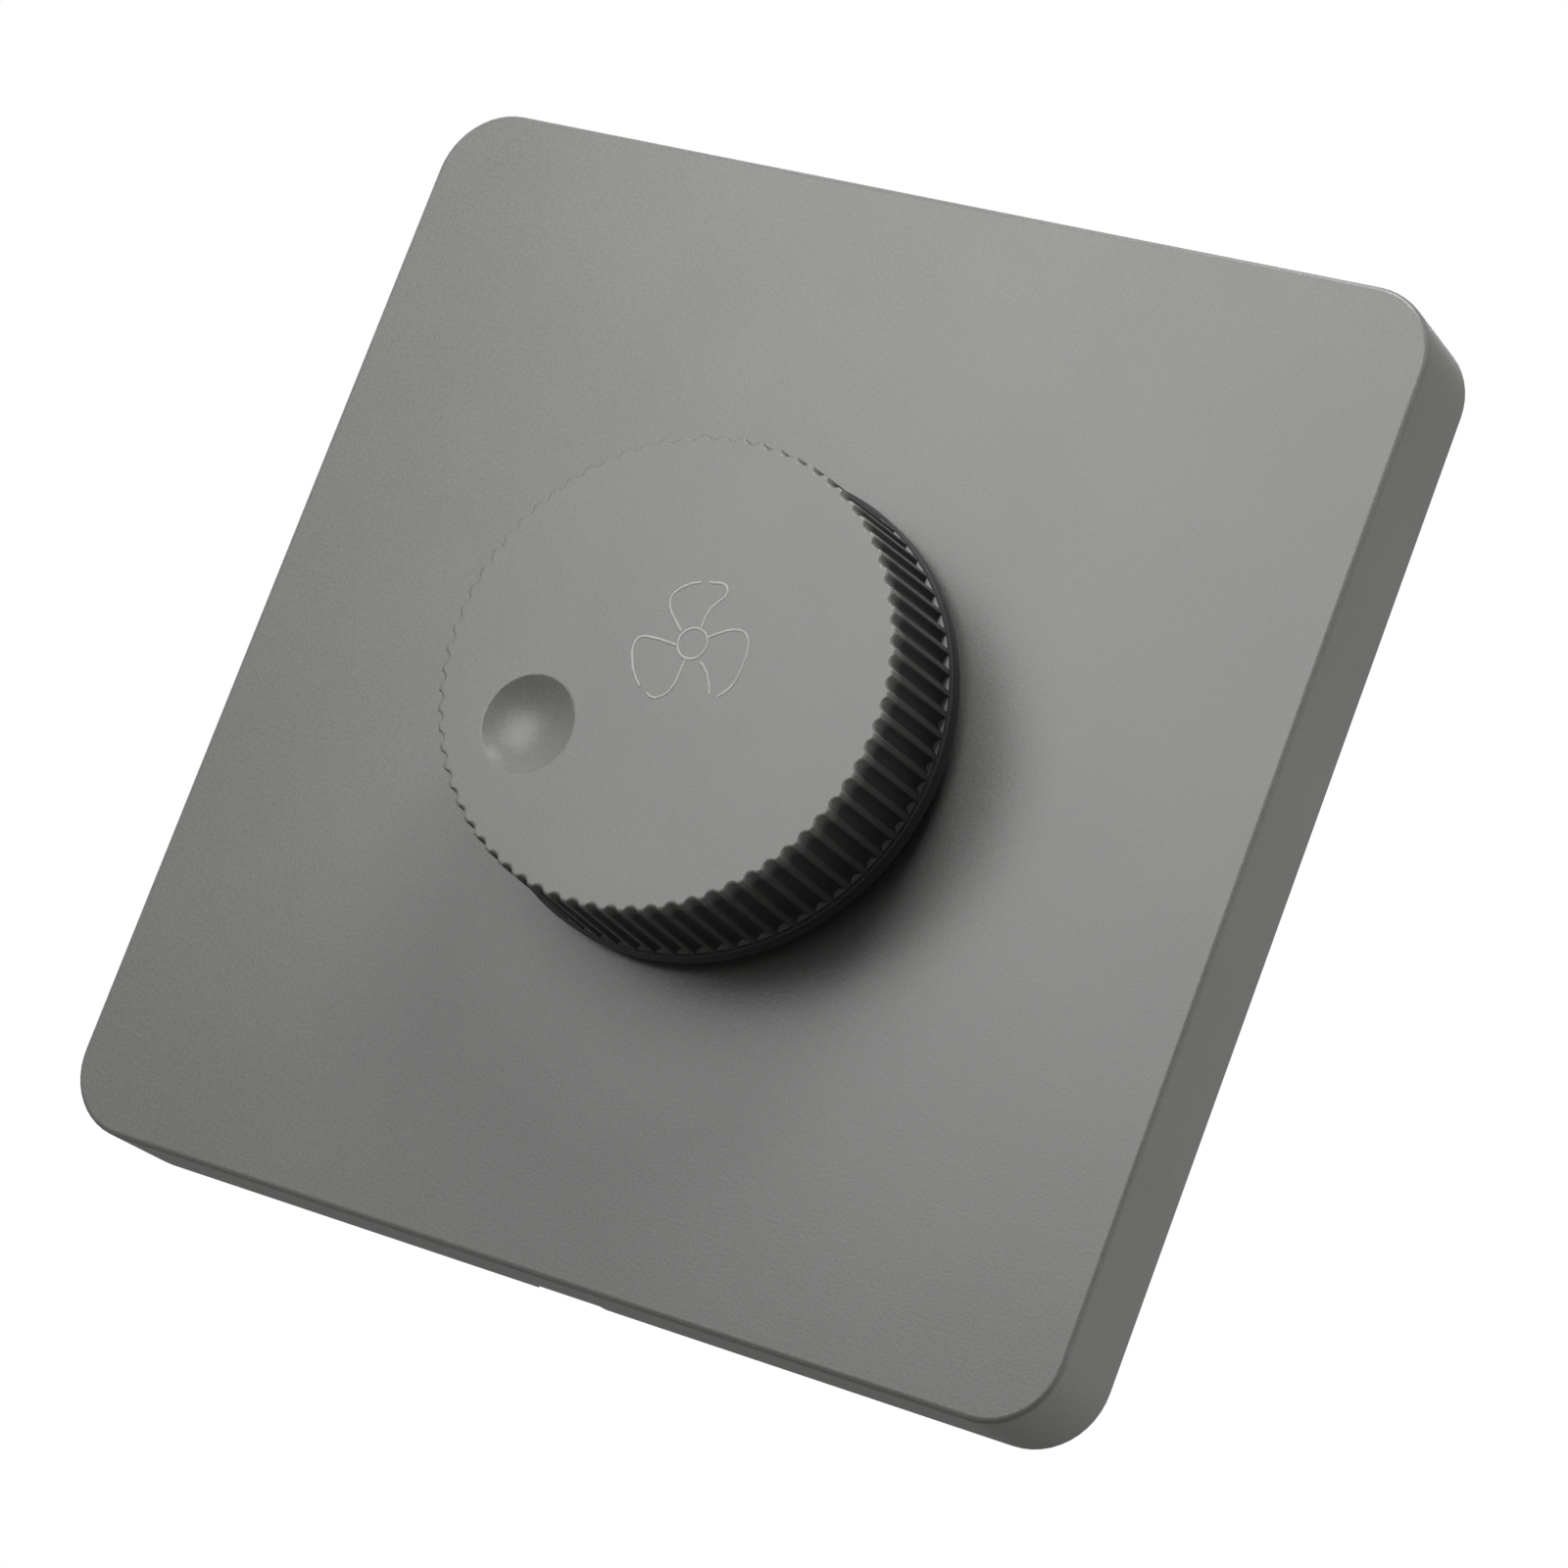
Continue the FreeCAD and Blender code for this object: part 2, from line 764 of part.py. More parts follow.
def make_rotor():
    body = new_body("pot_rotor")
    sketch = front_sketch(body, "rotor_disc", rotor_front)
    circle(sketch, zero, zero, s.rotor_radius)
    pad_back(body, sketch, s.rotor_thickness)
    sketch = front_sketch(body, "stop_arm", rotor_front)
    wedge(sketch, s.rotor_hub_radius, s.stop_arm_radius, arm_start, s.stop_arm_half_angle)
    pad_back(body, sketch, s.rotor_thickness)
    sketch = front_sketch(body, "rotor_hub", rotor_back)
    circle(sketch, zero, zero, s.rotor_hub_radius)
    pad_back(body, sketch, cam_back - rotor_back)
    sketch = front_sketch(body, "cam", cam_front)
    wedge(sketch, s.rotor_hub_radius - s.cam_root, s.cam_radius, up, s.cam_half_angle)
    pad_back(body, sketch, s.cam_width)
    sketch = front_sketch(body, "square_hole", rotor_front)
    half = s.tang_half + s.running_clearance / 2
    rectangle(sketch, -half, half, -half, half)
    pocket_back(body, sketch, cam_back - rotor_front)
    pieces["pot_rotor"] = body
    # wiper: a strip on the rotor's back, sprung towards the carbon track
    body = new_body("pot_wiper")
    tip = element_front - s.wiper_lift
    start = s.wiper_inner
    sketch = side_sketch(body, "wiper_strip", -s.wiper_width / 2)
    outline(
        sketch,
        [
            (rotor_back, start),
            (rotor_back, start + s.wiper_thickness),
            (tip - s.wiper_thickness, s.wiper_reach),
            (tip, s.wiper_reach),
            (tip, s.wiper_reach - s.wiper_thickness),
            (rotor_back + s.wiper_thickness, start),
        ],
    )
    pad_out(body, sketch, s.wiper_width)
    pieces["pot_wiper"] = body


# Front cover: a square tray with a rounded front edge, open to the wall

def make_cover():
    body = new_body("front_cover")
    half = s.cover_side / 2
    inner = half - s.cover_wall
    sketch = front_sketch(body, "cover_outer", face)
    rectangle(sketch, -half, half, -half, half)
    pad_back(body, sketch, s.cover_depth)
    rounded(body, "cover_corners", s.cover_corner, lambda e: upright_corner(e, half, half))
    rounded(body, "cover_front_edge", s.cover_edge, lambda e: lies_at(e, "y", face))
    sketch = front_sketch(body, "cover_inner", inside_face)
    rectangle(sketch, -inner, inner, -inner, inner)
    pocket_back(body, sketch, s.cover_depth)
    rounded(
        body,
        "cover_inner_corners",
        s.cover_corner - s.cover_wall,
        lambda e: upright_corner(e, inner, inner),
    )
    # four stiffeners from the hub's hole out to the walls
    sketch = front_sketch(body, "stiffener", inside_face)
    rectangle(
        sketch,
        s.hub_hole,
        inner + s.cover_wall / 2,
        -s.stiffener_width / 2,
        s.stiffener_width / 2,
    )
    polar(body, pad_back(body, sketch, s.stiffener_height), size(4))
    sketch = front_sketch(body, "hub_hole", face)
    circle(sketch, zero, zero, s.hub_hole)
    pocket_back(body, sketch, s.cover_skin + s.stiffener_height)
    # four hooks, each a tongue with a barb that leans towards the middle
    shoulder = -s.hook_pocket_depth + s.running_clearance
    hook = [
        (hook_reach, inside_face),
        (hook_reach + s.hook_thickness, inside_face),
        (hook_reach + s.hook_thickness, shoulder + s.hook_barb),
        (hook_reach, shoulder + s.hook_barb),
        (hook_reach - s.hook_barb, shoulder),
        (hook_reach, shoulder),
    ]
    sketch = plan_sketch(body, "hook", s.hook_height - s.hook_width / 2)
    outline(sketch, hook)
    outline(sketch, [(-x, y) for x, y in hook])
    mirrored(body, pad_out(body, sketch, s.hook_width), "XY_Plane")
    # notch for prying the cover off, in the middle of the lower rim
    sketch = front_sketch(body, "pry_notch", -s.rim_gap)
    rectangle(
        sketch,
        -s.pry_width / 2,
        s.pry_width / 2,
        -half - s.cover_wall,
        -inner + s.cover_wall / 2,
    )
    pocket_out(body, sketch, s.pry_depth)
    pieces["front_cover"] = body


# Mounting frame: a tray on the wall plane that the cover's hooks catch

def make_frame():
    body = new_body("mounting_frame")
    half = s.cover_side / 2 - s.cover_wall - s.frame_clearance
    inner = half - s.frame_rim_wall
    corner = s.cover_corner - s.cover_wall - s.frame_clearance
    front = -s.frame_thickness
    sketch = front_sketch(body, "frame_outer", front - s.frame_rim_height)
    rectangle(sketch, -half, half, -half, half)
    pad_back(body, sketch, s.frame_thickness + s.frame_rim_height)
    rounded(body, "frame_corners", corner, lambda e: upright_corner(e, half, half))
    sketch = front_sketch(body, "frame_inner", front - s.frame_rim_height)
    rectangle(sketch, -inner, inner, -inner, inner)
    pocket_back(body, sketch, s.frame_rim_height)
    rounded(
        body,
        "frame_inner_corners",
        corner - s.frame_rim_wall,
        lambda e: upright_corner(e, inner, inner),
    )
    # two ribs from rim to rim, and pads round the fixing slots
    sketch = front_sketch(body, "frame_rib", front)
    low = s.frame_rib_level - s.frame_rib_width / 2
    end = inner + s.frame_rim_wall / 2
    rectangle(sketch, -end, end, low, low + s.frame_rib_width)
    mirrored(body, pad_out(body, sketch, s.frame_rib_height), "XY_Plane")
    slot_end = s.fixing_spacing / 2 + s.fixing_slot_length / 2
    slot_start = s.fixing_spacing / 2 - s.fixing_slot_length / 2
    margin = s.fixing_pad_margin
    sketch = front_sketch(body, "fixing_pad", front)
    rectangle(
        sketch,
        slot_start - margin,
        slot_end + margin,
        -s.fixing_slot_radius - margin,
        s.fixing_slot_radius + margin,
    )
    mirrored(body, pad_out(body, sketch, s.fixing_pad_height), "YZ_Plane")
    # a shallow seat behind for the heat sink and the housing
    sketch = front_sketch(body, "housing_seat", zero)
    seat_wide = housing_half_width + s.seat_gap
    seat_high = s.housing_half_height + s.seat_gap
    rectangle(sketch, -seat_wide, seat_wide, -seat_high, seat_high)
    pocket_out(body, sketch, s.seat_depth)
    # four clips at the back that catch windows in the housing, above and below
    outer = s.housing_half_height - s.housing_wall - s.clip_gap
    clip = [
        (seat, outer - s.clip_thickness),
        (s.clip_reach, outer - s.clip_thickness),
        (s.clip_reach, outer),
        (s.clip_shoulder, outer + s.clip_barb),
        (s.clip_shoulder, outer),
        (seat, outer),
    ]
    sketch = side_sketch(body, "clip", s.clip_start)
    outline(sketch, clip)
    outline(sketch, [(y, -z) for y, z in clip])
    mirrored(body, pad_out(body, sketch, s.clip_width), "YZ_Plane")
    # openings: the nut's, the fixing slots and the hook windows
    sketch = front_sketch(body, "nut_opening", front)
    circle(sketch, zero, zero, s.nut_opening)
    pocket_back(body, sketch, s.frame_thickness)
    sketch = front_sketch(body, "fixing_slot", front - s.fixing_pad_height)
    rectangle(
        sketch,
        slot_start + s.fixing_slot_radius,
        slot_end - s.fixing_slot_radius,
        -s.fixing_slot_radius,
        s.fixing_slot_radius,
    )
    slot = pocket_back(body, sketch, s.frame_thickness + s.fixing_pad_height)
    mirrored(body, slot, "YZ_Plane")
    ends = (slot_start + s.fixing_slot_radius, slot_end - s.fixing_slot_radius)
    for name, x in zip(("slot_inner_ends", "slot_outer_ends"), ends):
        sketch = front_sketch(body, name, front - s.fixing_pad_height)
        circle(sketch, x, zero, s.fixing_slot_radius)
        circle(sketch, -x, zero, s.fixing_slot_radius)
        pocket_back(body, sketch, s.frame_thickness + s.fixing_pad_height)
    window_low = s.hook_height - s.hook_width / 2 - s.hook_play
    window_high = s.hook_height + s.hook_width / 2 + s.hook_play
    sketch = front_sketch(body, "hook_window", front)
    rectangle(sketch, hook_reach - s.hook_play, inner, window_low, window_high)
    rectangle(sketch, -inner, -hook_reach + s.hook_play, window_low, window_high)
    mirrored(body, pocket_back(body, sketch, s.frame_thickness), "XY_Plane")
    catch = hook_reach - s.hook_barb - s.hook_play
    sketch = front_sketch(body, "hook_catch", zero)
    rectangle(sketch, catch, hook_reach, window_low, window_high)
    rectangle(sketch, -hook_reach, -catch, window_low, window_high)
    mirrored(body, pocket_out(body, sketch, s.hook_pocket_depth), "XY_Plane")
    pieces["mounting_frame"] = body


# Heat sink: a folded aluminium plate that carries the potentiometer and holds the board down

def make_sink():
    body = new_body("heatsink")
    wide = sink_half_width
    inner = wide - s.sink_thickness
    flange = board_front - s.running_clearance
    sketch = plan_sketch(body, "sink_profile", -s.sink_half_height)
    outline(
        sketch,
        [
            (-wide, seat),
            (wide, seat),
            (wide, flange),
            (inner, flange),
            (inner, pot_front),
            (-inner, pot_front),
            (-inner, flange),
            (-wide, flange),
        ],
    )
    pad_out(body, sketch, 2 * s.sink_half_height)
    rounded(
        body,
        "sink_bend_outside",
        s.sink_bend,
        lambda e: runs_along(e, "z") and lies_at(e, "x", wide, -wide) and lies_at(e, "y", seat),
    )
    sketch = front_sketch(body, "sink_holes", seat)
    circle(sketch, zero, zero, s.bushing_radius + s.thread_clearance)
    circle(
        sketch,
        triac_x,
        s.triac_top - s.triac_hole_offset,
        s.triac_screw_radius + s.screw_clearance,
    )
    gap = s.lug_gap
    rectangle(sketch, -s.lug_x_half - gap, s.lug_x_half + gap, s.lug_low - gap, s.lug_high + gap)
    pocket_back(body, sketch, s.sink_thickness)
    pieces["heatsink"] = body


# Screw: a flat round head, bearing at one level, with the shank in front of it

def screw(label, x, z, bearing, length, radius, head, head_height):
    shank = rod(label + "_shank", "y", (x, bearing - length, z), length, radius)
    cap = rod(label + "_head", "y", (x, bearing, z), head_height, head)
    return fused(label, shank, cap)


# Rear housing: a deep box with clip windows, ribs for the board, vents and room for the terminals

def make_housing():
    body = new_body("rear_housing")
    wide, high, deep = housing_half_width, s.housing_half_height, s.housing_depth
    inner_wide = wide - s.housing_wall
    inner_high = high - s.housing_wall
    sketch = front_sketch(body, "housing_outer", seat)
    rectangle(sketch, -wide, wide, -high, high)
    pad_back(body, sketch, deep - seat)
    rounded(body, "housing_corners", s.housing_corner, lambda e: upright_corner(e, wide, high))
    rounded(
        body,
        "housing_back_edge",
        s.housing_edge,
        lambda e: lies_at(e, "y", deep),
        "PartDesign::Chamfer",
    )
    sketch = front_sketch(body, "housing_inner", seat)
    rectangle(sketch, -inner_wide, inner_wide, -inner_high, inner_high)
    pocket_back(body, sketch, housing_inside - seat)
    rounded(
        body,
        "housing_inner_corners",
        s.housing_corner - s.housing_wall,
        lambda e: upright_corner(e, inner_wide, inner_high),
    )
    sketch = front_sketch(body, "board_rib", board_back)
    low, top = s.board_rib_z - s.board_rib_width / 2, s.board_rib_z + s.board_rib_width / 2
    reach, root = inner_wide - s.board_rib_reach, inner_wide + s.housing_wall / 2
    for left, right in ((reach, root), (-root, -reach)):
        rectangle(sketch, left, right, low, top)
        rectangle(sketch, left, right, -top, -low)
    pad_back(body, sketch, housing_inside - board_back + s.housing_wall / 2)
    # windows for the frame's clips, through the walls above and below
    gap = s.clip_gap
    sketch = plan_sketch(body, "clip_window", -high - s.housing_wall)
    for left, right in (
        (s.clip_start - gap, s.clip_start + s.clip_width + gap),
        (-s.clip_start - s.clip_width - gap, -s.clip_start + gap),
    ):
        rectangle(sketch, left, right, s.clip_shoulder - s.running_clearance, s.clip_reach + gap)
    pocket_out(body, sketch, 2 * (high + s.housing_wall))
    sketch = front_sketch(body, "vent", housing_inside)
    rectangle(sketch, -s.vent_length / 2, s.vent_length / 2, s.vent_first, s.vent_first + s.vent_width)
    repeated(body, pocket_back(body, sketch, s.housing_wall), s.vent_pitch, s.vent_count)
    sketch = front_sketch(body, "terminal_window", board_back - s.block_gap)
    side = s.block_half_width + s.block_gap
    rectangle(sketch, -side, side, -high - s.housing_wall, -s.block_top + s.block_gap)
    pocket_back(body, sketch, deep - board_back + s.housing_wall)
    pieces["rear_housing"] = body


# Potentiometer: front plate with bushing, element board, terminals, switch and metal shell

def make_pot():
    body = new_body("pot_bushing")
    sketch = front_sketch(body, "pot_plate", pot_front)
    circle(sketch, zero, zero, s.pot_radius)
    pad_back(body, sketch, s.pot_plate_thickness)
    sketch = front_sketch(body, "bushing", pot_front)
    circle(sketch, zero, zero, s.bushing_radius)
    pad_out(body, sketch, s.bushing_length)
    sketch = front_sketch(body, "bushing_bore", pot_front - s.bushing_length)
    circle(sketch, zero, zero, s.shaft_radius + s.running_clearance)
    pocket_back(body, sketch, s.bushing_length + s.pot_plate_thickness)
    sketch = front_sketch(body, "lug", pot_front)
    rectangle(sketch, -s.lug_x_half, s.lug_x_half, s.lug_low, s.lug_high)
    pad_out(body, sketch, s.lug_height)
    sketch = front_sketch(body, "shell_notch", pot_front)
    wedge(
        sketch,
        shell_inside - s.running_clearance,
        s.pot_radius + s.shell_thickness,
        zero,
        s.shell_notch_half_angle,
    )
    polar(body, pocket_back(body, sketch, s.pot_plate_thickness), size(2))
    # two pegs that the rotor's arm meets at the ends of its travel
    peg_outer = shell_inside - s.thread_clearance
    aside = stop_half_angle - s.stop_peg_half_angle
    sketch = front_sketch(body, "stop_peg", pot_plate_back)
    wedge(sketch, s.stop_ring_inner, peg_outer, down - aside, s.stop_peg_half_angle)
    wedge(sketch, s.stop_ring_inner, peg_outer, down + aside, s.stop_peg_half_angle)
    pad_back(body, sketch, rotor_back - pot_plate_back)
    pieces["pot_bushing"] = body

    nut = new_body("pot_nut")
    sketch = front_sketch(nut, "nut_hexagon", seat)
    point = s.nut_across_flats / 2 / cosine(30)
    outline(sketch, [(point * cosine(turn), point * sine(turn)) for turn in range(0, 360, 60)])
    circle(sketch, zero, zero, s.bushing_radius + s.thread_clearance)
    pad_out(nut, sketch, s.nut_thickness)
    pieces["pot_nut"] = nut

    board = new_body("pot_element_board")
    sketch = front_sketch(board, "element_outline", element_front)
    rectangle(sketch, -s.tongue_half_width, s.tongue_half_width, -s.tongue_reach, s.element_top)
    pad_back(board, sketch, s.element_thickness)
    sketch = front_sketch(board, "element_opening", element_front)
    circle(sketch, zero, zero, s.element_hole)
    pocket_back(board, sketch, s.element_thickness)
    pieces["pot_element_board"] = board

    low = -s.tongue_reach + s.terminal_width / 2
    terminals = []
    for place, name in ((-1, "left"), (0, "middle"), (1, "right")):
        x = (
            place * s.terminal_pitch - s.terminal_width / 2,
            place * s.terminal_pitch + s.terminal_width / 2,
        )
        strip = block(
            f"terminal_strip_{name}",
            x,
            (element_back, element_back + s.terminal_thickness),
            (low, -s.terminal_top),
        )
        tail = block(
            f"terminal_tail_{name}", x, (element_back, tail_end), (low, low + s.terminal_thickness)
        )
        terminals.append(fused(f"terminal_{name}", strip, tail))
    pieces["pot_terminals"] = group("pot_terminals", *terminals)

    case = new_body("switch_case")
    sketch = front_sketch(case, "case_disc", element_back)
    circle(sketch, zero, zero, switch_radius)
    pad_back(case, sketch, s.switch_depth)
    sketch = front_sketch(case, "case_cavity", element_back)
    circle(sketch, zero, zero, switch_radius - s.switch_wall)
    pocket_back(case, sketch, s.switch_depth - s.switch_wall)
    sketch = front_sketch(case, "case_slots", switch_back - s.switch_wall)
    for x, z in switch_tails():
        rectangle(
            sketch,
            x[0] - s.thread_clearance,
            x[1] + s.thread_clearance,
            z[0] - s.thread_clearance,
            z[1] + s.thread_clearance,
        )
    pocket_back(case, sketch, s.switch_wall)
    pieces["switch_case"] = case

    leaf_x, leaf_z = switch_tails()[0]
    leaf = block("leaf_spring", (leaf_x[0], s.leaf_half_length), (cam_front, cam_back), leaf_z)
    tail = block("leaf_tail", leaf_x, (cam_front, tail_end), leaf_z)
    pieces["switch_leaf"] = fused("switch_leaf", leaf, tail)
    strip_x, strip_z = switch_tails()[1]
    pieces["switch_contact"] = block("switch_contact", strip_x, (cam_front, tail_end), strip_z)

    shell = new_body("pot_shell")
    sketch = front_sketch(shell, "shell_outer", pot_plate_back)
    circle(sketch, zero, zero, s.pot_radius)
    pad_back(shell, sketch, shell_back - pot_plate_back)
    sketch = front_sketch(shell, "shell_inner", pot_plate_back)
    circle(sketch, zero, zero, shell_inside)
    pocket_back(shell, sketch, switch_back - pot_plate_back)
    sketch = front_sketch(shell, "shell_tab", pot_plate_back)
    wedge(sketch, shell_inside, s.pot_radius, zero, s.shell_tab_half_angle)
    polar(shell, pad_out(shell, sketch, s.pot_plate_thickness), size(2))
    window = s.tongue_half_width + s.lug_gap
    sketch = front_sketch(shell, "tongue_window", pot_plate_back)
    rectangle(sketch, -window, window, -s.pot_radius - s.shell_thickness, -s.element_hole)
    pocket_back(shell, sketch, element_back - pot_plate_back + s.lug_gap)
    sketch = front_sketch(shell, "tail_windows", switch_back)
    for x, z in switch_tails():
        rectangle(
            sketch,
            x[0] - s.tail_insulation,
            x[1] + s.tail_insulation,
            z[0] - s.tail_insulation,
            z[1] + s.tail_insulation,
        )
    pocket_back(shell, sketch, s.shell_thickness)
    pieces["pot_shell"] = shell


def switch_tails():
    # the leaf on the left and the fixed contact on the right, each as its run of X and of Z
    contact_high = leaf_level - s.contact_gap
    return [
        (
            (-s.leaf_half_length, -s.leaf_half_length + s.leaf_tail),
            (leaf_level, leaf_level + s.leaf_thickness),
        ),
        (
            (s.leaf_half_length - s.leaf_tail, s.leaf_half_length),
            (contact_high - s.leaf_thickness, contact_high),
        ),
    ]


# Components on the board, each with leads that pass through it

def lead(label, x, z, start, width=None):
    half = (width or 2 * s.lead_radius) / 2
    return block(label, (x - half, x + half), (start, tail_end), (z - half, z + half))


lead_spots = []


def leads_of(label, start, *spots):
    lead_spots.extend(spots)
    return [lead(f"{label}_lead_{i}", x, z, start) for i, (x, z) in enumerate(spots, 1)]


def box_capacitor(label, x, z, length, width, height, pitch):
    body = new_body(label + "_case")
    sketch = front_sketch(body, label + "_outline", board_front - height)
    left, right = x - length / 2, x + length / 2
    low, high = z - width / 2, z + width / 2
    rectangle(sketch, left, right, low, high)
    pad_back(body, sketch, height)
    rounded(
        body,
        label + "_edges",
        s.case_corner,
        lambda e: lies_at(e, "y", board_front - height),
        "PartDesign::Chamfer",
    )
    spots = ((x - pitch / 2, z), (x + pitch / 2, z))
    pieces[label] = fused(label, body, *leads_of(label, board_front - s.case_corner, *spots))


def axial(label, x, z, radius, length, span):
    level = board_front - s.axial_lift - radius
    half = s.lead_radius
    body = rod(label + "_body", "x", (x - length / 2, level, z), length, radius)
    wire = block(
        label + "_wire",
        (x - span / 2 - half, x + span / 2 + half),
        (level - half, level + half),
        (z - half, z + half),
    )
    spots = ((x - span / 2, z), (x + span / 2, z))
    pieces[label] = fused(label, body, wire, *leads_of(label, level, *spots))


def make_components():
    box_capacitor(
        "suppression_capacitor",
        s.filter_x,
        s.filter_z,
        s.filter_length,
        s.filter_width,
        s.filter_height,
        s.filter_pitch,
    )
    box_capacitor(
        "timing_capacitor",
        s.timing_x,
        s.timing_z,
        s.timing_length,
        s.timing_width,
        s.timing_height,
        s.timing_pitch,
    )
    for place, name in enumerate(("resistor_series", "resistor_timing")):
        z = s.resistor_first + place * s.resistor_pitch
        axial(name, s.resistor_x, z, s.resistor_radius, s.resistor_length, s.resistor_span)
    axial("diac", s.diac_x, s.diac_z, s.diac_radius, s.diac_length, s.diac_span)
    # choke: a ferrite rod wound with copper wire, lying along the board's lower edge
    x = s.choke_x
    z = -(s.housing_half_height - s.housing_wall - s.choke_wall_gap - s.choke_coil_radius)
    level = board_front - s.axial_lift - s.choke_coil_radius
    core_start = x - s.choke_core_length / 2
    coil_start = x - s.choke_coil_length / 2
    length = s.choke_coil_length
    pieces["choke_core"] = rod(
        "choke_core", "x", (core_start, level, z), s.choke_core_length, s.choke_core_radius
    )
    turns = rod("choke_turns", "x", (coil_start, level, z), length, s.choke_coil_radius)
    space = s.choke_core_radius + s.choke_coil_gap
    middle = rod("choke_middle", "x", (coil_start, level, z), length, space)
    winding = less("choke_winding", turns, middle)
    spots = ((coil_start + s.lead_hole, z), (coil_start + length - s.lead_hole, z))
    ends = leads_of("choke", board_front - s.lead_tail, *spots)
    pieces["choke_coil"] = fused("choke_coil", winding, *ends)


def make_triac():
    x, top = triac_x, s.triac_top
    half = s.triac_width / 2
    base = pot_front
    tab_low = top - s.triac_tab_length
    low = tab_low - s.triac_body_length
    hole_z = top - s.triac_hole_offset
    tab = block(
        "triac_tab",
        (x - half, x + half),
        (base, base + s.triac_tab_thickness),
        (tab_low, top),
    )
    mould = block(
        "triac_mould",
        (x - half, x + half),
        (base, base + s.triac_body_height),
        (low, tab_low),
    )
    package = fused("triac_package", tab, mould)
    tab_hole = rod("tab_hole", "y", (x, zero, hole_z), s.triac_body_height, s.triac_hole_radius)
    pieces["triac_body"] = less("triac_body", package, tab_hole)
    level = base + s.triac_lead_level
    thick = s.triac_lead_thickness
    wide = s.triac_lead_width
    end = low - s.triac_lead_run
    legs = []
    for place, name in ((-1, "left"), (0, "middle"), (1, "right")):
        centre = x + place * s.triac_lead_pitch
        across = (centre - wide / 2, centre + wide / 2)
        run = block(f"triac_run_{name}", across, (level - thick / 2, level + thick / 2), (end, low))
        drop = block(f"triac_drop_{name}", across, (level - thick / 2, tail_end), (end, end + thick))
        legs.append(fused(f"triac_lead_{name}", run, drop))
        lead_spots.append((centre, end + thick / 2))
    pieces["triac_leads"] = group("triac_leads", *legs)
    head_front = base + s.triac_tab_thickness
    pieces["triac_screw"] = screw(
        "triac_screw",
        x,
        hole_z,
        head_front,
        head_front - pot_front + s.sink_thickness - s.thread_clearance,
        s.triac_screw_radius,
        s.triac_screw_head,
        s.triac_screw_head_height,
    )


# Terminal block: two cage clamps in a moulded body, wires from below, screws from behind

def make_terminals():
    block_back = s.housing_depth + s.block_proud
    cage_front = board_back + s.cage_setback
    cage_back = cage_front + s.cage_height
    cage_low = -s.block_bottom + s.block_floor
    cage_high = cage_low + s.cage_depth
    middle_y = (cage_front + cage_back) / 2
    middle_z = (cage_low + cage_high) / 2
    gap = s.cage_gap
    half = s.cage_width / 2
    ways = [(name, sign * s.way_pitch / 2) for name, sign in (("left", -1), ("right", 1))]

    body = new_body("terminal_block")
    sketch = front_sketch(body, "block_outline", board_back)
    rectangle(sketch, -s.block_half_width, s.block_half_width, -s.block_bottom, -s.block_top)
    pad_back(body, sketch, block_back - board_back)
    sketch = front_sketch(body, "cage_space", board_back)
    for _, x in ways:
        rectangle(sketch, x - half - gap, x + half + gap, cage_low - gap, cage_high + gap)
    pocket_back(body, sketch, s.cage_setback + s.cage_height + gap)
    sketch = front_sketch(body, "head_hole", cage_back)
    for _, x in ways:
        circle(sketch, x, middle_z, s.clamp_screw_head + s.head_hole_clearance)
    pocket_back(body, sketch, block_back - cage_back)
    sketch = plan_sketch(body, "wire_entry", -s.block_bottom)
    for _, x in ways:
        circle(sketch, x, middle_y, s.wire_entry_radius)
    pocket_out(body, sketch, s.block_floor)
    pieces["terminal_block"] = body

    cages, screws = [], []
    for name, x in ways:
        solid = block(
            f"cage_block_{name}", (x - half, x + half), (cage_front, cage_back), (cage_low, cage_high)
        )
        pin = s.cage_pin_width / 2
        post = block(
            f"cage_pin_{name}",
            (x - pin, x + pin),
            (board_front - s.lead_tail, cage_front),
            (middle_z - pin, middle_z + pin),
        )
        opening = s.cage_wire_width / 2
        wire = block(
            f"cage_wire_space_{name}",
            (x - opening, x + opening),
            (cage_front + s.cage_wall, cage_back - s.cage_wall),
            (cage_low, cage_high),
        )
        thread = rod(
            f"cage_thread_{name}",
            "y",
            (x, middle_y, middle_z),
            s.cage_height / 2,
            s.clamp_screw_radius + s.clamp_screw_clearance,
        )
        whole = fused(f"cage_whole_{name}", solid, post)
        cages.append(less(f"cage_{name}", whole, wire, thread))
        tip = cage_back - s.cage_wall - s.clamp_screw_bite
        head_back = block_back - s.clamp_screw_recess
        head_front = head_back - s.clamp_screw_head_height
        driven = screw(
            f"clamp_screw_{name}_plain",
            x,
            middle_z,
            head_front,
            head_front - tip,
            s.clamp_screw_radius,
            s.clamp_screw_head,
            s.clamp_screw_head_height,
        )
        slot = block(
            f"clamp_slot_{name}",
            (x - s.clamp_screw_head, x + s.clamp_screw_head),
            (head_back - s.slot_depth, head_back + s.slot_depth),
            (middle_z - s.slot_width / 2, middle_z + s.slot_width / 2),
        )
        screws.append(less(f"clamp_screw_{name}", driven, slot))
    pieces["terminal_cages"] = group("terminal_cages", *cages)
    pieces["terminal_screws"] = group("terminal_screws", *screws)
    return [(x, middle_z) for _, x in ways]


# Circuit board: a sheet cut round the columns, with a hole for each lead and tail

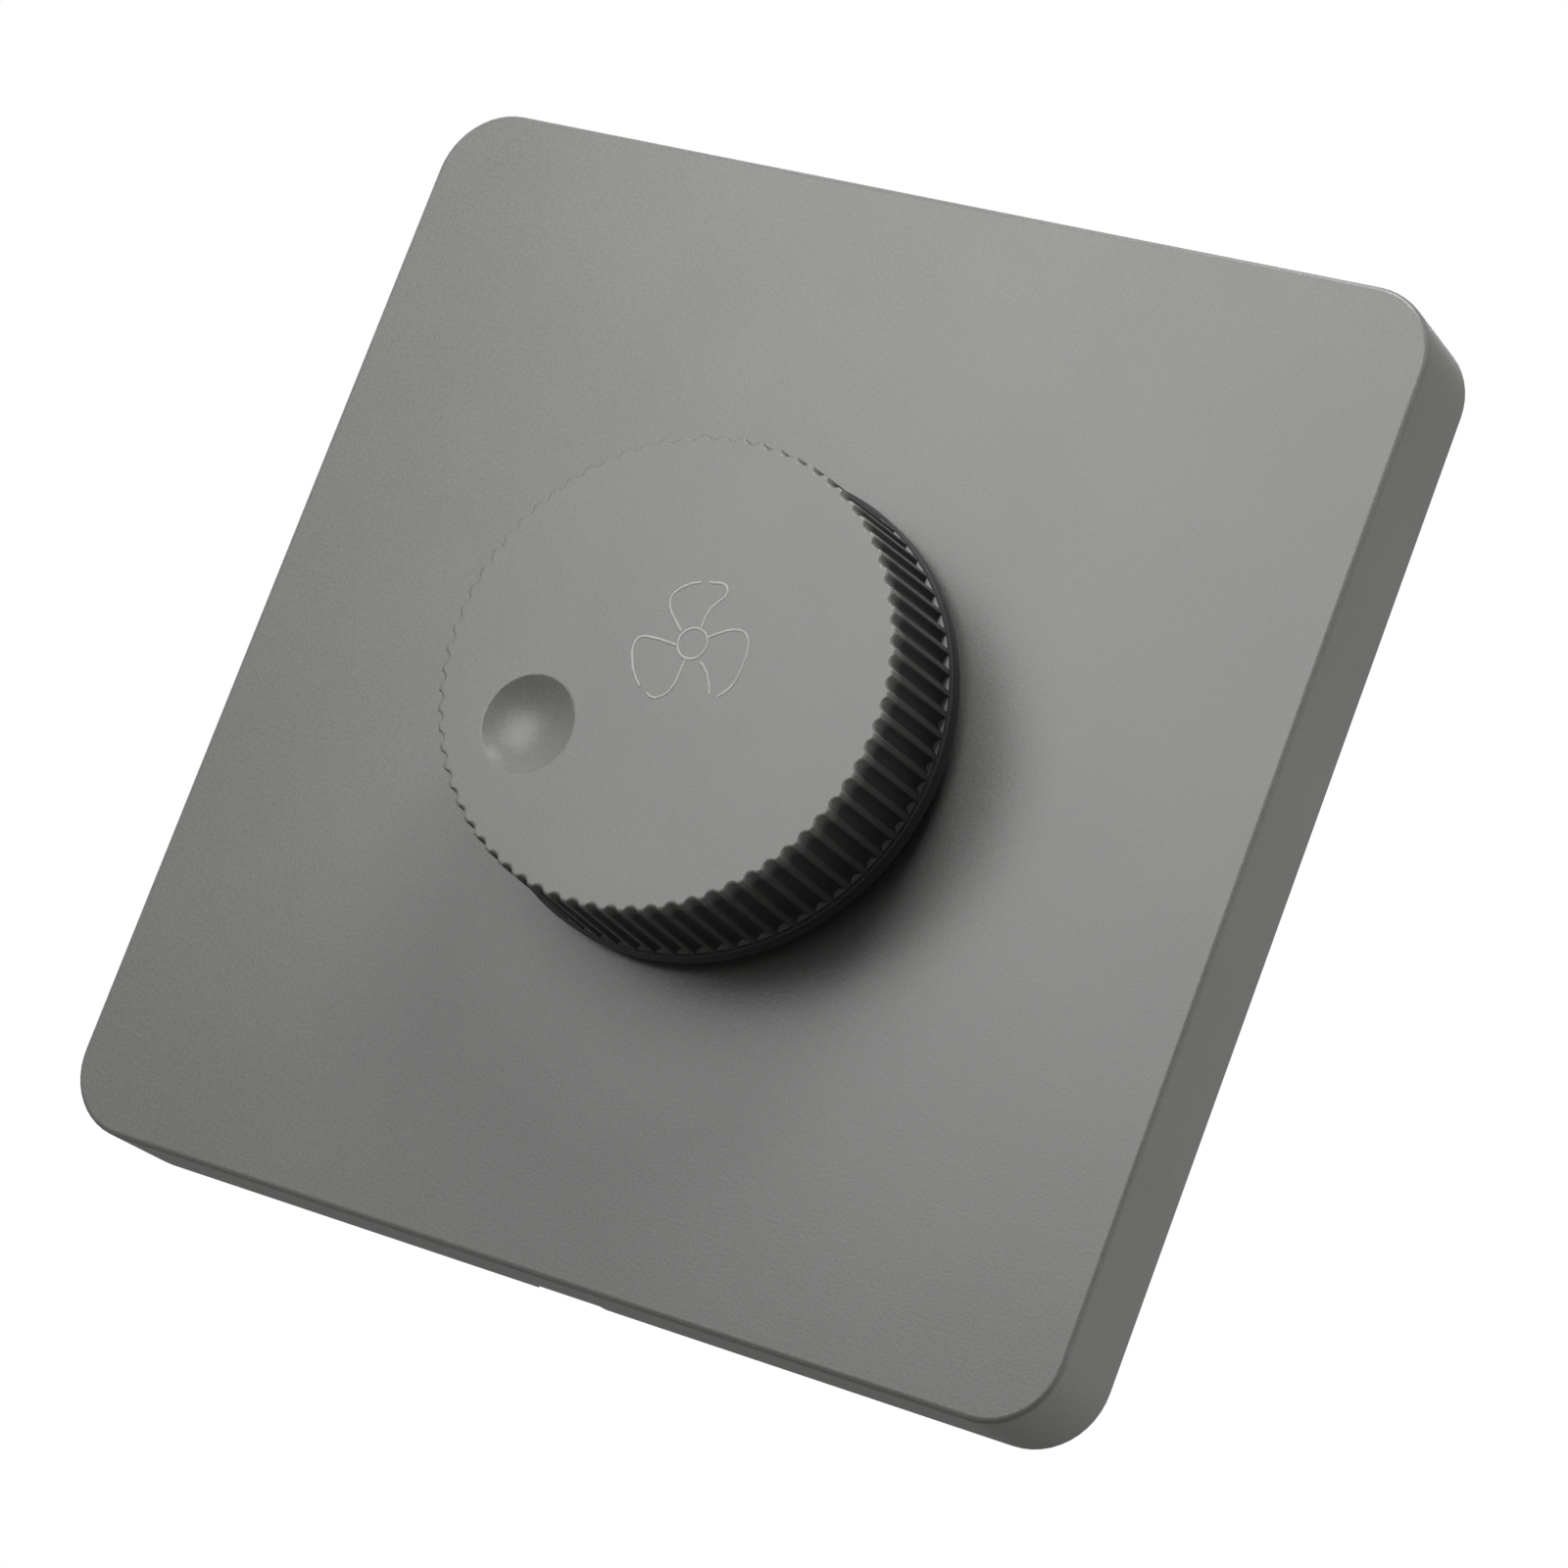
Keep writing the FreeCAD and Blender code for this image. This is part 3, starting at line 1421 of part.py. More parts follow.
def make_board(cage_pins):
    body = new_body("board_sheet")
    wide = housing_half_width - s.housing_wall - s.board_edge_gap
    high = s.housing_half_height - s.housing_wall - s.board_edge_gap
    sketch = front_sketch(body, "board_outline", board_front)
    rectangle(sketch, -wide, wide, -high, high)
    pad_back(body, sketch, s.board_thickness)
    holes = []

    def hole(x, z, half_x, half_z):
        holes.append(
            block(
                f"board_hole_{len(holes) + 1}",
                (x - half_x, x + half_x),
                (board_front, board_back),
                (z - half_z, z + half_z),
            )
        )

    for x, z in lead_spots:
        hole(x, z, s.lead_hole, s.lead_hole)
    for x, z in cage_pins:
        hole(x, z, s.cage_pin_width / 2 + s.thread_clearance, s.cage_pin_width / 2 + s.thread_clearance)
    tail_z = -s.tongue_reach + s.terminal_width / 2 + s.terminal_thickness / 2
    tail_wide = s.terminal_width / 2 + s.thread_clearance
    for place in (-1, 0, 1):
        hole(place * s.terminal_pitch, tail_z, tail_wide, s.terminal_thickness / 2 + s.thread_clearance)
    for x, z in switch_tails():
        hole((x[0] + x[1]) / 2, (z[0] + z[1]) / 2, tail_wide, s.leaf_thickness / 2 + s.thread_clearance)
    pieces["circuit_board"] = less("circuit_board", body, *holes)


make_knob()
make_shaft()
make_rotor()
make_cover()
make_frame()
make_sink()
make_housing()
make_pot()
make_components()
make_triac()
make_board(make_terminals())
doc.recompute()

# Every object has to be sound before its file is written
for item in doc.Objects:
    if "Invalid" in item.State or "Error" in item.State:
        raise RuntimeError(f"{item.Label} could not be made: {item.State}")
for name, piece in pieces.items():
    if piece.Shape.isNull() or not piece.Shape.isValid():
        raise RuntimeError(f"{name} has no sound shape")

os.makedirs("parts", exist_ok=True)
for name, piece in pieces.items():
    piece.Shape.exportStep(f"parts/{name}.step")
    box = piece.Shape.BoundBox
    print(
        f"{name}: {len(piece.Shape.Solids)} solid(s), x {box.XMin:.2f} to {box.XMax:.2f}, "
        f"y {box.YMin:.2f} to {box.YMax:.2f}, z {box.ZMin:.2f} to {box.ZMax:.2f}"
    )
print(f"{len(pieces)} pieces written")
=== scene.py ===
import json
import math
import bmesh
import bpy
from mathutils import Euler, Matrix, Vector


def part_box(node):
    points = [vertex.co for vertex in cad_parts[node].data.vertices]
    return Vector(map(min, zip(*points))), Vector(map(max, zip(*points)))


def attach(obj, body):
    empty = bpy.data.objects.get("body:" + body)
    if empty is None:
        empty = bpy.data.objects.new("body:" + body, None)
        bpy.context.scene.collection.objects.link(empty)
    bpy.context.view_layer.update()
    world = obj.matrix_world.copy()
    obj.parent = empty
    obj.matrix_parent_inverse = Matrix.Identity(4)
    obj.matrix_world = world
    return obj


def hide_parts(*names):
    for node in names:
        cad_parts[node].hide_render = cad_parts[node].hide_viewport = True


# Fan speed control on a square wall plate. The wall plane is Y = 0, the front looks along -Y
# and Z is up. Sizes in the dictionaries are in mm.

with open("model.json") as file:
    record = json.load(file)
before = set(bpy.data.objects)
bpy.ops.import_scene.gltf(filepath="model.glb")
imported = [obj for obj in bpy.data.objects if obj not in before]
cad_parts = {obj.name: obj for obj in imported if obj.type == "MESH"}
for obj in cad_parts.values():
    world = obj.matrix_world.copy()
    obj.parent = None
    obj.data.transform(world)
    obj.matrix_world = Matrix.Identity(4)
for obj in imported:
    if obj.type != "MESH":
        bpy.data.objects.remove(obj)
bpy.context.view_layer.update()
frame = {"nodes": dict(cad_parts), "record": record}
nodes = frame["nodes"]
mm = 0.001
print("frame loaded:", len(nodes), "nodes")


# Small helpers

def linearColour(hexCode):  # sRGB hex to the linear colour that the shaders take
    channels = [int(hexCode[i:i + 2], 16) / 255 for i in (1, 3, 5)]
    linear = [c / 12.92 if c <= 0.04045 else ((c + 0.055) / 1.055) ** 2.4 for c in channels]
    return (*linear, 1.0)


def perMetre(sizeInMm):  # texture scale for a pattern of this real size
    return 1 / (sizeInMm * mm)


# The keys of settings and links are socket names, socket numbers or properties
def addNode(tree, kind, settings=None, links=None):
    node = tree.nodes.new(kind)
    for key, value in (settings or {}).items():
        if isinstance(key, str) and key not in node.inputs:
            setattr(node, key, value)
    for key, value in (settings or {}).items():
        if isinstance(key, int) or key in node.inputs:
            node.inputs[key].default_value = value
    for key, source in (links or {}).items():
        tree.links.new(source, node.inputs[key])
    return node


def newMaterial(name):
    material = bpy.data.materials.new(name)
    material.use_nodes = True
    material.node_tree.nodes.clear()
    return material, material.node_tree


def newPiece(name, data):
    piece = bpy.data.objects.new(name, data)
    bpy.context.scene.collection.objects.link(piece)
    return piece


noiseSpread = {"From Min": 0.3, "From Max": 0.7}  # holds nearly all values of a noise texture


# Camera: in front of the plate, to its right and a little below, rolled as the photograph is

cameraView = {
    "place": (187.22, -326.48, -69.50),
    "turn": (100.951, -20.465, 25.813),  # degrees
    "lens": 117.15,
    "sensor": 36,
    "nearest": 10,  # what is nearer or farther isn't seen
    "farthest": 50000,
}


def placeCamera(view):
    data = bpy.data.cameras.new("productCamera")
    data.lens = view["lens"]
    data.sensor_width = view["sensor"]
    data.clip_start = view["nearest"] * mm
    data.clip_end = view["farthest"] * mm
    camera = newPiece("productCamera", data)
    camera.location = [v * mm for v in view["place"]]
    camera.rotation_euler = Euler([math.radians(a) for a in view["turn"]])
    bpy.context.scene.camera = camera


placeCamera(cameraView)
print("camera placed")


# Light: a wide soft box in front and to the left, a small one above that grazes the face, one at
# the right that lights only the side wall, one behind for the back, and a dim surround

softBoxes = {
    "frontSoftBox": {"place": (-80, -245, 66), "side": 165, "watts": 0.335},
    "overheadSoftBox": {"place": (5, -88, 152), "side": 80, "watts": 0.2},
    "sideSoftBox": {"place": (300, 110, 10), "side": 150, "watts": 0.38},
    "rearSoftBox": {"place": (-180, 380, 220), "side": 250, "watts": 1.6},
}
softBoxAim = (0, -8, 0)  # the middle of the plate's front
surround = {"dimStrength": 0.05, "seenStrength": 1.0}


def placeSoftBoxes(boxes):
    aim = Vector(softBoxAim) * mm
    for name, box in boxes.items():
        data = bpy.data.lights.new(name, "AREA")
        data.shape = "SQUARE"
        data.size = box["side"] * mm
        data.energy = box["watts"]
        lamp = newPiece(name, data)
        lamp.location = [v * mm for v in box["place"]]
        lamp.rotation_euler = (aim - lamp.location).to_track_quat("-Z", "Y").to_euler()


def seenDirectly(tree):  # 1 for camera, mirror and glass rays, which see the white surround
    path = addNode(tree, "ShaderNodeLightPath")
    gloss = addNode(
        tree,
        "ShaderNodeMath",
        {"operation": "MAXIMUM"},
        {0: path.outputs["Is Camera Ray"], 1: path.outputs["Is Glossy Ray"]},
    )
    both = addNode(
        tree,
        "ShaderNodeMath",
        {"operation": "MAXIMUM"},
        {0: gloss.outputs[0], 1: path.outputs["Is Transmission Ray"]},
    )
    return both.outputs[0]


def makeSurround(settings):
    world = bpy.data.worlds.new("studioSurround")
    bpy.context.scene.world = world
    world.use_nodes = True
    tree = world.node_tree
    tree.nodes.clear()
    dim = addNode(
        tree,
        "ShaderNodeBackground",
        {"Color": (1, 1, 1, 1), "Strength": settings["dimStrength"]},
    )
    white = addNode(
        tree,
        "ShaderNodeBackground",
        {"Color": (1, 1, 1, 1), "Strength": settings["seenStrength"]},
    )
    mix = addNode(
        tree,
        "ShaderNodeMixShader",
        None,
        {0: seenDirectly(tree), 1: dim.outputs[0], 2: white.outputs[0]},
    )
    addNode(tree, "ShaderNodeOutputWorld", None, {"Surface": mix.outputs[0]})


# Floor: a wide pale disc below, which fades into the white surround

studioFloor = {
    "level": -150,
    "radius": 1400,
    "corners": 96,
    "fadeFrom": 0.35,  # shares of the radius
    "fadeTo": 0.95,
    "paper": "#9a9a98",
    "glow": 0.68,  # share of plain white; the rest is paper, which takes the shadow
}


def makeFloor(settings):
    mesh = bpy.data.meshes.new("studioFloor")
    corners = settings["corners"]
    radius = settings["radius"] * mm
    level = settings["level"] * mm
    turn = [2 * math.pi * i / corners for i in range(corners)]
    rim = [(radius * math.cos(a), radius * math.sin(a), level) for a in turn]
    mesh.from_pydata(rim, [], [range(corners)])
    floor = newPiece("studioFloor", mesh)
    material, tree = newMaterial("palePaper")  # matt paper: even and white, it keeps a soft shadow
    place = addNode(tree, "ShaderNodeTexCoord")
    outward = addNode(
        tree,
        "ShaderNodeVectorMath",
        {"operation": "LENGTH"},
        {0: place.outputs["Object"]},
    )
    fade = addNode(
        tree,
        "ShaderNodeMapRange",
        {
            "interpolation_type": "SMOOTHSTEP",
            "From Min": settings["fadeFrom"] * radius,
            "From Max": settings["fadeTo"] * radius,
        },
        {"Value": outward.outputs["Value"]},
    )
    paper = addNode(tree, "ShaderNodeBsdfDiffuse", {"Color": linearColour(settings["paper"])})
    glow = addNode(
        tree,
        "ShaderNodeEmission",
        {"Color": (1, 1, 1, 1)},
        {"Strength": seenDirectly(tree)},
    )
    glowingPaper = addNode(
        tree,
        "ShaderNodeMixShader",
        {0: settings["glow"]},
        {1: paper.outputs[0], 2: glow.outputs[0]},
    )
    clear = addNode(tree, "ShaderNodeBsdfTransparent")
    mix = addNode(
        tree,
        "ShaderNodeMixShader",
        None,
        {0: fade.outputs[0], 1: glowingPaper.outputs[0], 2: clear.outputs[0]},
    )
    addNode(tree, "ShaderNodeOutputMaterial", None, {"Surface": mix.outputs[0]})
    mesh.materials.append(material)


placeSoftBoxes(softBoxes)
makeSurround(surround)
makeFloor(studioFloor)
print("lights, surround and floor placed")


# Moulded plastic: fine grain of the spark-eroded mould in the bump, slow clouding in the colour

plasticSurface = {
    "grainHeight": 0.03,
    "roughnessSwing": 0.05,
    "sideFacing": (-0.8, -0.3),  # the normal's Y where the face ends and the side wall begins
}


def mouldedPlastic(name, look):
    surface = plasticSurface
    material, tree = newMaterial(name)
    place = addNode(tree, "ShaderNodeTexCoord").outputs["Object"]
    grain = addNode(
        tree,
        "ShaderNodeTexNoise",
        {"Scale": perMetre(look["grain"]), "Detail": 2.0, "Roughness": 0.6},
        {"Vector": place},
    )
    cloud = addNode(
        tree,
        "ShaderNodeTexNoise",
        {"Scale": perMetre(look["cloud"]), "Detail": 3.0},
        {"Vector": place},
    )
    speckle = addNode(
        tree,
        "ShaderNodeMapRange",
        {**noiseSpread, "To Min": 0.0, "To Max": look["speckle"]},
        {"Value": grain.outputs[0]},
    )
    clouding = addNode(
        tree,
        "ShaderNodeMapRange",
        {**noiseSpread, "To Min": 0.0, "To Max": 1 - look["speckle"]},
        {"Value": cloud.outputs[0]},
    )
    share = addNode(
        tree,
        "ShaderNodeMath",
        {"operation": "ADD"},
        {0: speckle.outputs[0], 1: clouding.outputs[0]},
    )
    colour = addNode(
        tree,
        "ShaderNodeMix",
        {"data_type": "RGBA", 6: linearColour(look["dark"]), 7: linearColour(look["light"])},
        {"Factor": share.outputs[0]},
    )
    rough = addNode(
        tree,
        "ShaderNodeMapRange",
        {
            **noiseSpread,
            "To Min": look["roughness"] - surface["roughnessSwing"],
            "To Max": look["roughness"] + surface["roughnessSwing"],
        },
        {"Value": grain.outputs[0]},
    )
    relief = addNode(
        tree,
        "ShaderNodeBump",
        {"Strength": look["relief"], "Distance": surface["grainHeight"] * mm},
        {"Height": grain.outputs[0]},
    )
    if look.get("sideRoughness"):  # the mould's side walls are eroded coarser than its face
        normal = addNode(tree, "ShaderNodeTexCoord").outputs["Normal"]
        facing = addNode(tree, "ShaderNodeSeparateXYZ", None, {0: normal})
        faceEnd, sideStart = surface["sideFacing"]
        onSide = addNode(
            tree,
            "ShaderNodeMapRange",
            {"From Min": faceEnd, "From Max": sideStart, "To Max": look["sideRoughness"]},
            {"Value": facing.outputs[1]},
        )
        rough = addNode(
            tree,
            "ShaderNodeMath",
            {"operation": "ADD"},
            {0: rough.outputs[0], 1: onSide.outputs[0]},
        )
    if look.get("edge"):
        softEdge = addNode(tree, "ShaderNodeBevel", {"samples": 4, "Radius": look["edge"] * mm})
        tree.links.new(softEdge.outputs[0], relief.inputs["Normal"])
    shader = addNode(
        tree,
        "ShaderNodeBsdfPrincipled",
        {"IOR": 1.5, "Specular IOR Level": look.get("specular", 0.4)},
        {
            "Base Color": colour.outputs[2],
            "Roughness": rough.outputs[0],
            "Normal": relief.outputs[0],
        },
    )
    addNode(tree, "ShaderNodeOutputMaterial", None, {"Surface": shader.outputs[0]})
    return material


# Metal: a bright base with the marks of how it was made, drawn along one direction

metalSurface = {
    "markHeight": 0.02,
    "relief": 0.25,
    "roughnessSwing": 0.08,
    "edge": 0.1,
}


def workedMetal(name, look):
    surface = metalSurface
    material, tree = newMaterial(name)
    place = addNode(tree, "ShaderNodeTexCoord").outputs["Object"]
    stretched = addNode(
        tree,
        "ShaderNodeMapping",
        {"Scale": [perMetre(size) for size in look["marks"]]},
        {"Vector": place},
    )
    marks = addNode(
        tree,
        "ShaderNodeTexNoise",
        {"Scale": 1.0, "Detail": 3.0, "Roughness": 0.55},
        {"Vector": stretched.outputs[0]},
    )
    colour = addNode(
        tree,
        "ShaderNodeMix",
        {"data_type": "RGBA", 6: linearColour(look["dark"]), 7: linearColour(look["light"])},
        {"Factor": marks.outputs[0]},
    )
    rough = addNode(
        tree,
        "ShaderNodeMapRange",
        {
            **noiseSpread,
            "To Min": look["roughness"] - surface["roughnessSwing"],
            "To Max": look["roughness"] + surface["roughnessSwing"],
        },
        {"Value": marks.outputs[0]},
    )
    softEdge = addNode(tree, "ShaderNodeBevel", {"samples": 4, "Radius": surface["edge"] * mm})
    relief = addNode(
        tree,
        "ShaderNodeBump",
        {"Strength": surface["relief"], "Distance": surface["markHeight"] * mm},
        {"Height": marks.outputs[0], "Normal": softEdge.outputs[0]},
    )
    shader = addNode(
        tree,
        "ShaderNodeBsdfPrincipled",
        {"Metallic": 1.0},
        {
            "Base Color": colour.outputs[2],
            "Roughness": rough.outputs[0],
            "Normal": relief.outputs[0],
        },
    )
    addNode(tree, "ShaderNodeOutputMaterial", None, {"Surface": shader.outputs[0]})
    return material


# Lacquer or resin over a body: a mottled colour under a clear glossy coat

lacquerSurface = {
    "coat": 0.6,
    "coatRoughness": 0.15,
    "waveHeight": 0.05,
    "relief": 0.2,
    "edge": 0.2,
}


def lacqueredBody(name, look):
    surface = lacquerSurface
    material, tree = newMaterial(name)
    place = addNode(tree, "ShaderNodeTexCoord").outputs["Object"]
    mottle = addNode(
        tree,
        "ShaderNodeTexNoise",
        {"Scale": perMetre(look["mottle"]), "Detail": 2.0},
        {"Vector": place},
    )
    colour = addNode(
        tree,
        "ShaderNodeMix",
        {"data_type": "RGBA", 6: linearColour(look["dark"]), 7: linearColour(look["light"])},
        {"Factor": mottle.outputs[0]},
    )
    softEdge = addNode(tree, "ShaderNodeBevel", {"samples": 4, "Radius": surface["edge"] * mm})
    relief = addNode(
        tree,
        "ShaderNodeBump",
        {"Strength": surface["relief"], "Distance": surface["waveHeight"] * mm},
        {"Height": mottle.outputs[0], "Normal": softEdge.outputs[0]},
    )
    shader = addNode(
        tree,
        "ShaderNodeBsdfPrincipled",
        {
            "Roughness": look["roughness"],
            "Coat Weight": surface["coat"],
            "Coat Roughness": surface["coatRoughness"],
            "IOR": 1.5,
        },
        {"Base Color": colour.outputs[2], "Normal": relief.outputs[0]},
    )
    addNode(tree, "ShaderNodeOutputMaterial", None, {"Surface": shader.outputs[0]})
    return material


# One finish for each material slot of the frame

finishes = {
    # ABS moulded against a spark-eroded face: satin mid grey, a fine even grain drawn at 0.24 mm,
    # coarser than it is, to show
    "cover_plastic": (mouldedPlastic, "sparkErodedAbs", {
        "dark": "#6f6f6e", "light": "#838381", "grain": 0.24, "cloud": 14, "speckle": 0.75,
        "roughness": 0.33, "sideRoughness": 0.4, "relief": 0.4, "specular": 0.5,
    }),
    "knob_plastic": (mouldedPlastic, "sparkErodedKnobAbs", {
        "dark": "#6e6e6d", "light": "#7f7f7d", "grain": 0.24, "cloud": 9, "speckle": 0.75,
        "roughness": 0.33, "relief": 0.4, "specular": 0.5,
    }),
    # glass filled nylon: off-white, slightly waxy, tiny sink marks
    "frame_plastic": (mouldedPlastic, "glassFilledNylon", {
        "dark": "#cfccc2", "light": "#dcdad2", "grain": 0.3, "cloud": 8, "speckle": 0.5,
        "roughness": 0.5, "relief": 0.25, "edge": 0.2,
    }),
    # flame retardant PBT: near black, dull, with the flow lines of the mould
    "housing_plastic": (mouldedPlastic, "flameRetardantPbt", {
        "dark": "#262626", "light": "#333332", "grain": 0.25, "cloud": 6, "speckle": 0.5,
        "roughness": 0.48, "relief": 0.4, "edge": 0.3,
    }),
    # acetal: creamy and smooth, it slides
    "rotor_plastic": (mouldedPlastic, "creamAcetal", {
        "dark": "#d5cdb6", "light": "#e0d9c4", "grain": 0.3, "cloud": 4, "speckle": 0.4,
        "roughness": 0.4, "relief": 0.15, "edge": 0.15,
    }),
    # epoxy moulding compound: black, matt, faintly sandy
    "black_plastic": (mouldedPlastic, "epoxyMouldingCompound", {
        "dark": "#1d1d1e", "light": "#29292a", "grain": 0.15, "cloud": 3, "speckle": 0.7,
        "roughness": 0.6, "relief": 0.4, "edge": 0.15,
    }),
    # polyamide 66: terminal green, satin
    "terminal_plastic": (mouldedPlastic, "terminalPolyamide", {
        "dark": "#2c6f41", "light": "#37804c", "grain": 0.3, "cloud": 5, "speckle": 0.4,
        "roughness": 0.42, "relief": 0.2, "edge": 0.2,
    }),
    # polypropylene box filled with resin: warm yellow under a gloss
    "yellow_plastic": (lacqueredBody, "capacitorBoxPlastic", {
        "dark": "#d9a11f", "light": "#e6b436", "mottle": 2.5, "roughness": 0.35,
    }),
    # dipped polyester film: brick red, slightly uneven
    "film_red": (lacqueredBody, "dippedPolyesterFilm", {
        "dark": "#94331d", "light": "#a84228", "mottle": 1.8, "roughness": 0.32,
    }),
    # resistor lacquer: beige and glossy over a ceramic rod
    "resistor_paint": (lacqueredBody, "resistorLacquer", {
        "dark": "#c3a57a", "light": "#d3b98f", "mottle": 0.8, "roughness": 0.3,
    }),
    # glass diode body: deep blue gloss
    "diac_glass": (lacqueredBody, "blueDiodeGlass", {
        "dark": "#27427f", "light": "#34549a", "mottle": 0.8, "roughness": 0.12,
    }),
    # paper phenolic laminate: brown, with a fibre mottle
    "phenolic_board": (lacqueredBody, "paperPhenolic", {
        "dark": "#6b4526", "light": "#86592f", "mottle": 0.5, "roughness": 0.5,
    }),
    "circuit_board": (lacqueredBody, "copperCladPhenolic", {
        "dark": "#b68f55", "light": "#c9a369", "mottle": 0.6, "roughness": 0.45,
    }),
    # pressed ferrite: charcoal ceramic, matt and pitted
    "ferrite": (mouldedPlastic, "pressedFerrite", {
        "dark": "#2a2a2c", "light": "#3c3c3e", "grain": 0.2, "cloud": 2, "speckle": 0.8,
        "roughness": 0.7, "relief": 0.7, "edge": 0.15,
    }),
    # spring steel strip: bright, with rolling lines along the strip
    "spring_steel": (workedMetal, "rolledSpringSteel", {
        "dark": "#9c9c9a", "light": "#c4c4c2", "marks": (0.15, 3, 0.15), "roughness": 0.28,
    }),
    # turned brass under nickel: bright, with fine tool rings across the axis
    "turned_metal": (workedMetal, "nickelPlatedTurnedBrass", {
        "dark": "#b3b0a6", "light": "#d2cfc6", "marks": (2, 0.12, 2), "roughness": 0.26,
    }),
    # tinned sheet: pale and a little cloudy
    "tinned_metal": (workedMetal, "tinnedSheet", {
        "dark": "#b5b6b6", "light": "#d3d4d4", "marks": (0.8, 0.8, 0.8), "roughness": 0.34,
    }),
    # zinc plated steel: cool, slightly yellow, dull
    "plated_screw": (workedMetal, "zincPlatedSteel", {
        "dark": "#a7a598", "light": "#c9c7bb", "marks": (0.5, 0.3, 0.5), "roughness": 0.32,
    }),
    # phosphor bronze: pinkish and bright
    "contact_metal": (workedMetal, "phosphorBronze", {
        "dark": "#b97f52", "light": "#d29a6b", "marks": (0.15, 1.5, 0.15), "roughness": 0.25,
    }),
    # cut brass: yellow, with saw lines
    "brass_part": (workedMetal, "cutBrass", {
        "dark": "#b3923f", "light": "#d3b25c", "marks": (0.3, 1.5, 0.3), "roughness": 0.3,
    }),
    # enamelled copper: orange-brown turns lying side by side, drawn 0.5 mm apart
    "copper_wire": (workedMetal, "enamelledCopper", {
        "dark": "#9b4b22", "light": "#cf7a3f", "marks": (0.5, 6, 6), "roughness": 0.3,
    }),
    # rolled aluminium sheet: pale grey with long rolling lines
    "sheet_aluminium": (workedMetal, "rolledAluminium", {
        "dark": "#b9babb", "light": "#d6d7d8", "marks": (0.2, 0.2, 9), "roughness": 0.36,
    }),
}

materials = {slot: recipe(name, look) for slot, (recipe, name, look) in finishes.items()}
for part in frame["record"]["subparts"]:
    nodes[part["node"]].data.materials[0] = materials[part["material_slot"]]
print("materials made:", len(materials))


# Cover: the moulded tray, with the tighter rounding that its front edge really has

coverShape = {
    "half": 43.0,
    "cornerRadius": 5.6,
    "modelledEdge": 0.8,  # the rounding of the front edge in the frame
    "realEdge": 0.4,
    "slack": 0.01,  # so that vertices on the rounding's own border count as on it
}


def makeCover(c):
    data = nodes["front_cover"].data.copy()
    data.name = "coverTray"
    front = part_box("front_cover")[0].y / mm
    core = c["half"] - c["cornerRadius"]
    start = c["cornerRadius"] - c["modelledEdge"]
    slack = c["slack"]
    for vertex in data.vertices:
        x, y, z = vertex.co / mm
        foot = Vector((max(-core, min(core, x)), max(-core, min(core, z))))
        out = Vector((x, z)) - foot
        if out.length < start - slack or y > front + c["modelledEdge"] + slack:
            continue
        sideways = max(out.length - start, 0) / c["modelledEdge"]
        forward = max(front + c["modelledEdge"] - y, 0) / c["modelledEdge"]
        reach = c["cornerRadius"] - c["realEdge"] * (1 - sideways)
        spot = foot + out.normalized() * reach
        vertex.co = Vector((spot.x, front + c["realEdge"] * (1 - forward), spot.y)) * mm
    return newPiece("coverTray", data)


coverTray = makeCover(coverShape)
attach(coverTray, "controller")
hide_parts("front_cover")
print("cover made")


# Knob: a moulded cap with round flutes, a flange, a finger dimple and an open back with a hub
# and ribs

knobShape = {
    "crestTop": 18.17,  # radius over the flutes at the top
    "crestFoot": 18.6,
    "flangeHeight": 1.4,
    "inkRoom": 0.03,  # the top lies this much lower, so that the print stays inside the CAD box
    "topRound": 0.2,
    "topMargin": 0.15,  # the flat's border ring lies this far inside the rounding
    "footFillet": 0.06,
    "flangeRound": 0.12,
    "fluteCount": 72,
    "fluteDepth": 0.47,  # where a groove meets the flange
    "fluteDepthTop": 0.33,  # and at the top's edge
    "fluteWidth": 1.19,
    "crestSoftening": 0.14,
    "cavityTop": 16.2,
    "cavityFoot": 16.7,
    "skin": 2.4,
    "hub": 5.2,
    "bore": 3.05,
    "boreFlat": 1.95,
    "ribCount": 6,
    "ribWidth": 1.0,
    "ribHeight": 4.0,
    "ribRoots": {"hub": 0.3, "wall": 0.2, "ceiling": 0.2},  # how deep a rib's ends are sunk
    "dimplePlace": (-9.0, -6.35),
    "dimpleRadius": 3.75,
    "dimpleDepth": 1.1,
    "dimpleRound": 0.35,
    "dimpleMargin": 0.15,
}
knobMesh = {
    "fluteSpots": (-1, -0.88, -0.68, -0.36, 0, 0.36, 0.68, 0.88, 1),  # across half a flute's angle
    "besideFlute": 0.25,  # degrees
    "wallSpots": (0.25, 0.5, 0.75, 1),  # from the top's rounding down to the flange
    "topSteps": 5,
    "flangeSteps": 3,
    "dimpleCorners": 72,
    "ballSteps": 10,
    "rimSteps": 5,
    "sharpFrom": 32,  # degrees between faces
}
knobLow, knobHigh = (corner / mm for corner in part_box("knob"))


def addRing(mesh, angles, radii, level, centre=(0, 0)):
    x, z = centre
    return [
        mesh.verts.new(((x + r * math.cos(a)) * mm, level * mm, (z + r * math.sin(a)) * mm))
        for a, r in zip(angles, radii)
    ]


def joinRings(mesh, first, second, finish):
    for i in range(len(first)):
        j = (i + 1) % len(first)
        mesh.faces.new((first[i], first[j], second[j], second[i])).material_index = finish


def quarter(steps):  # (sine, cosine) from 0 to 90 degrees
    turn = [math.pi / 2 * i / steps for i in range(steps + 1)]
    return [(math.sin(a), math.cos(a)) for a in turn]


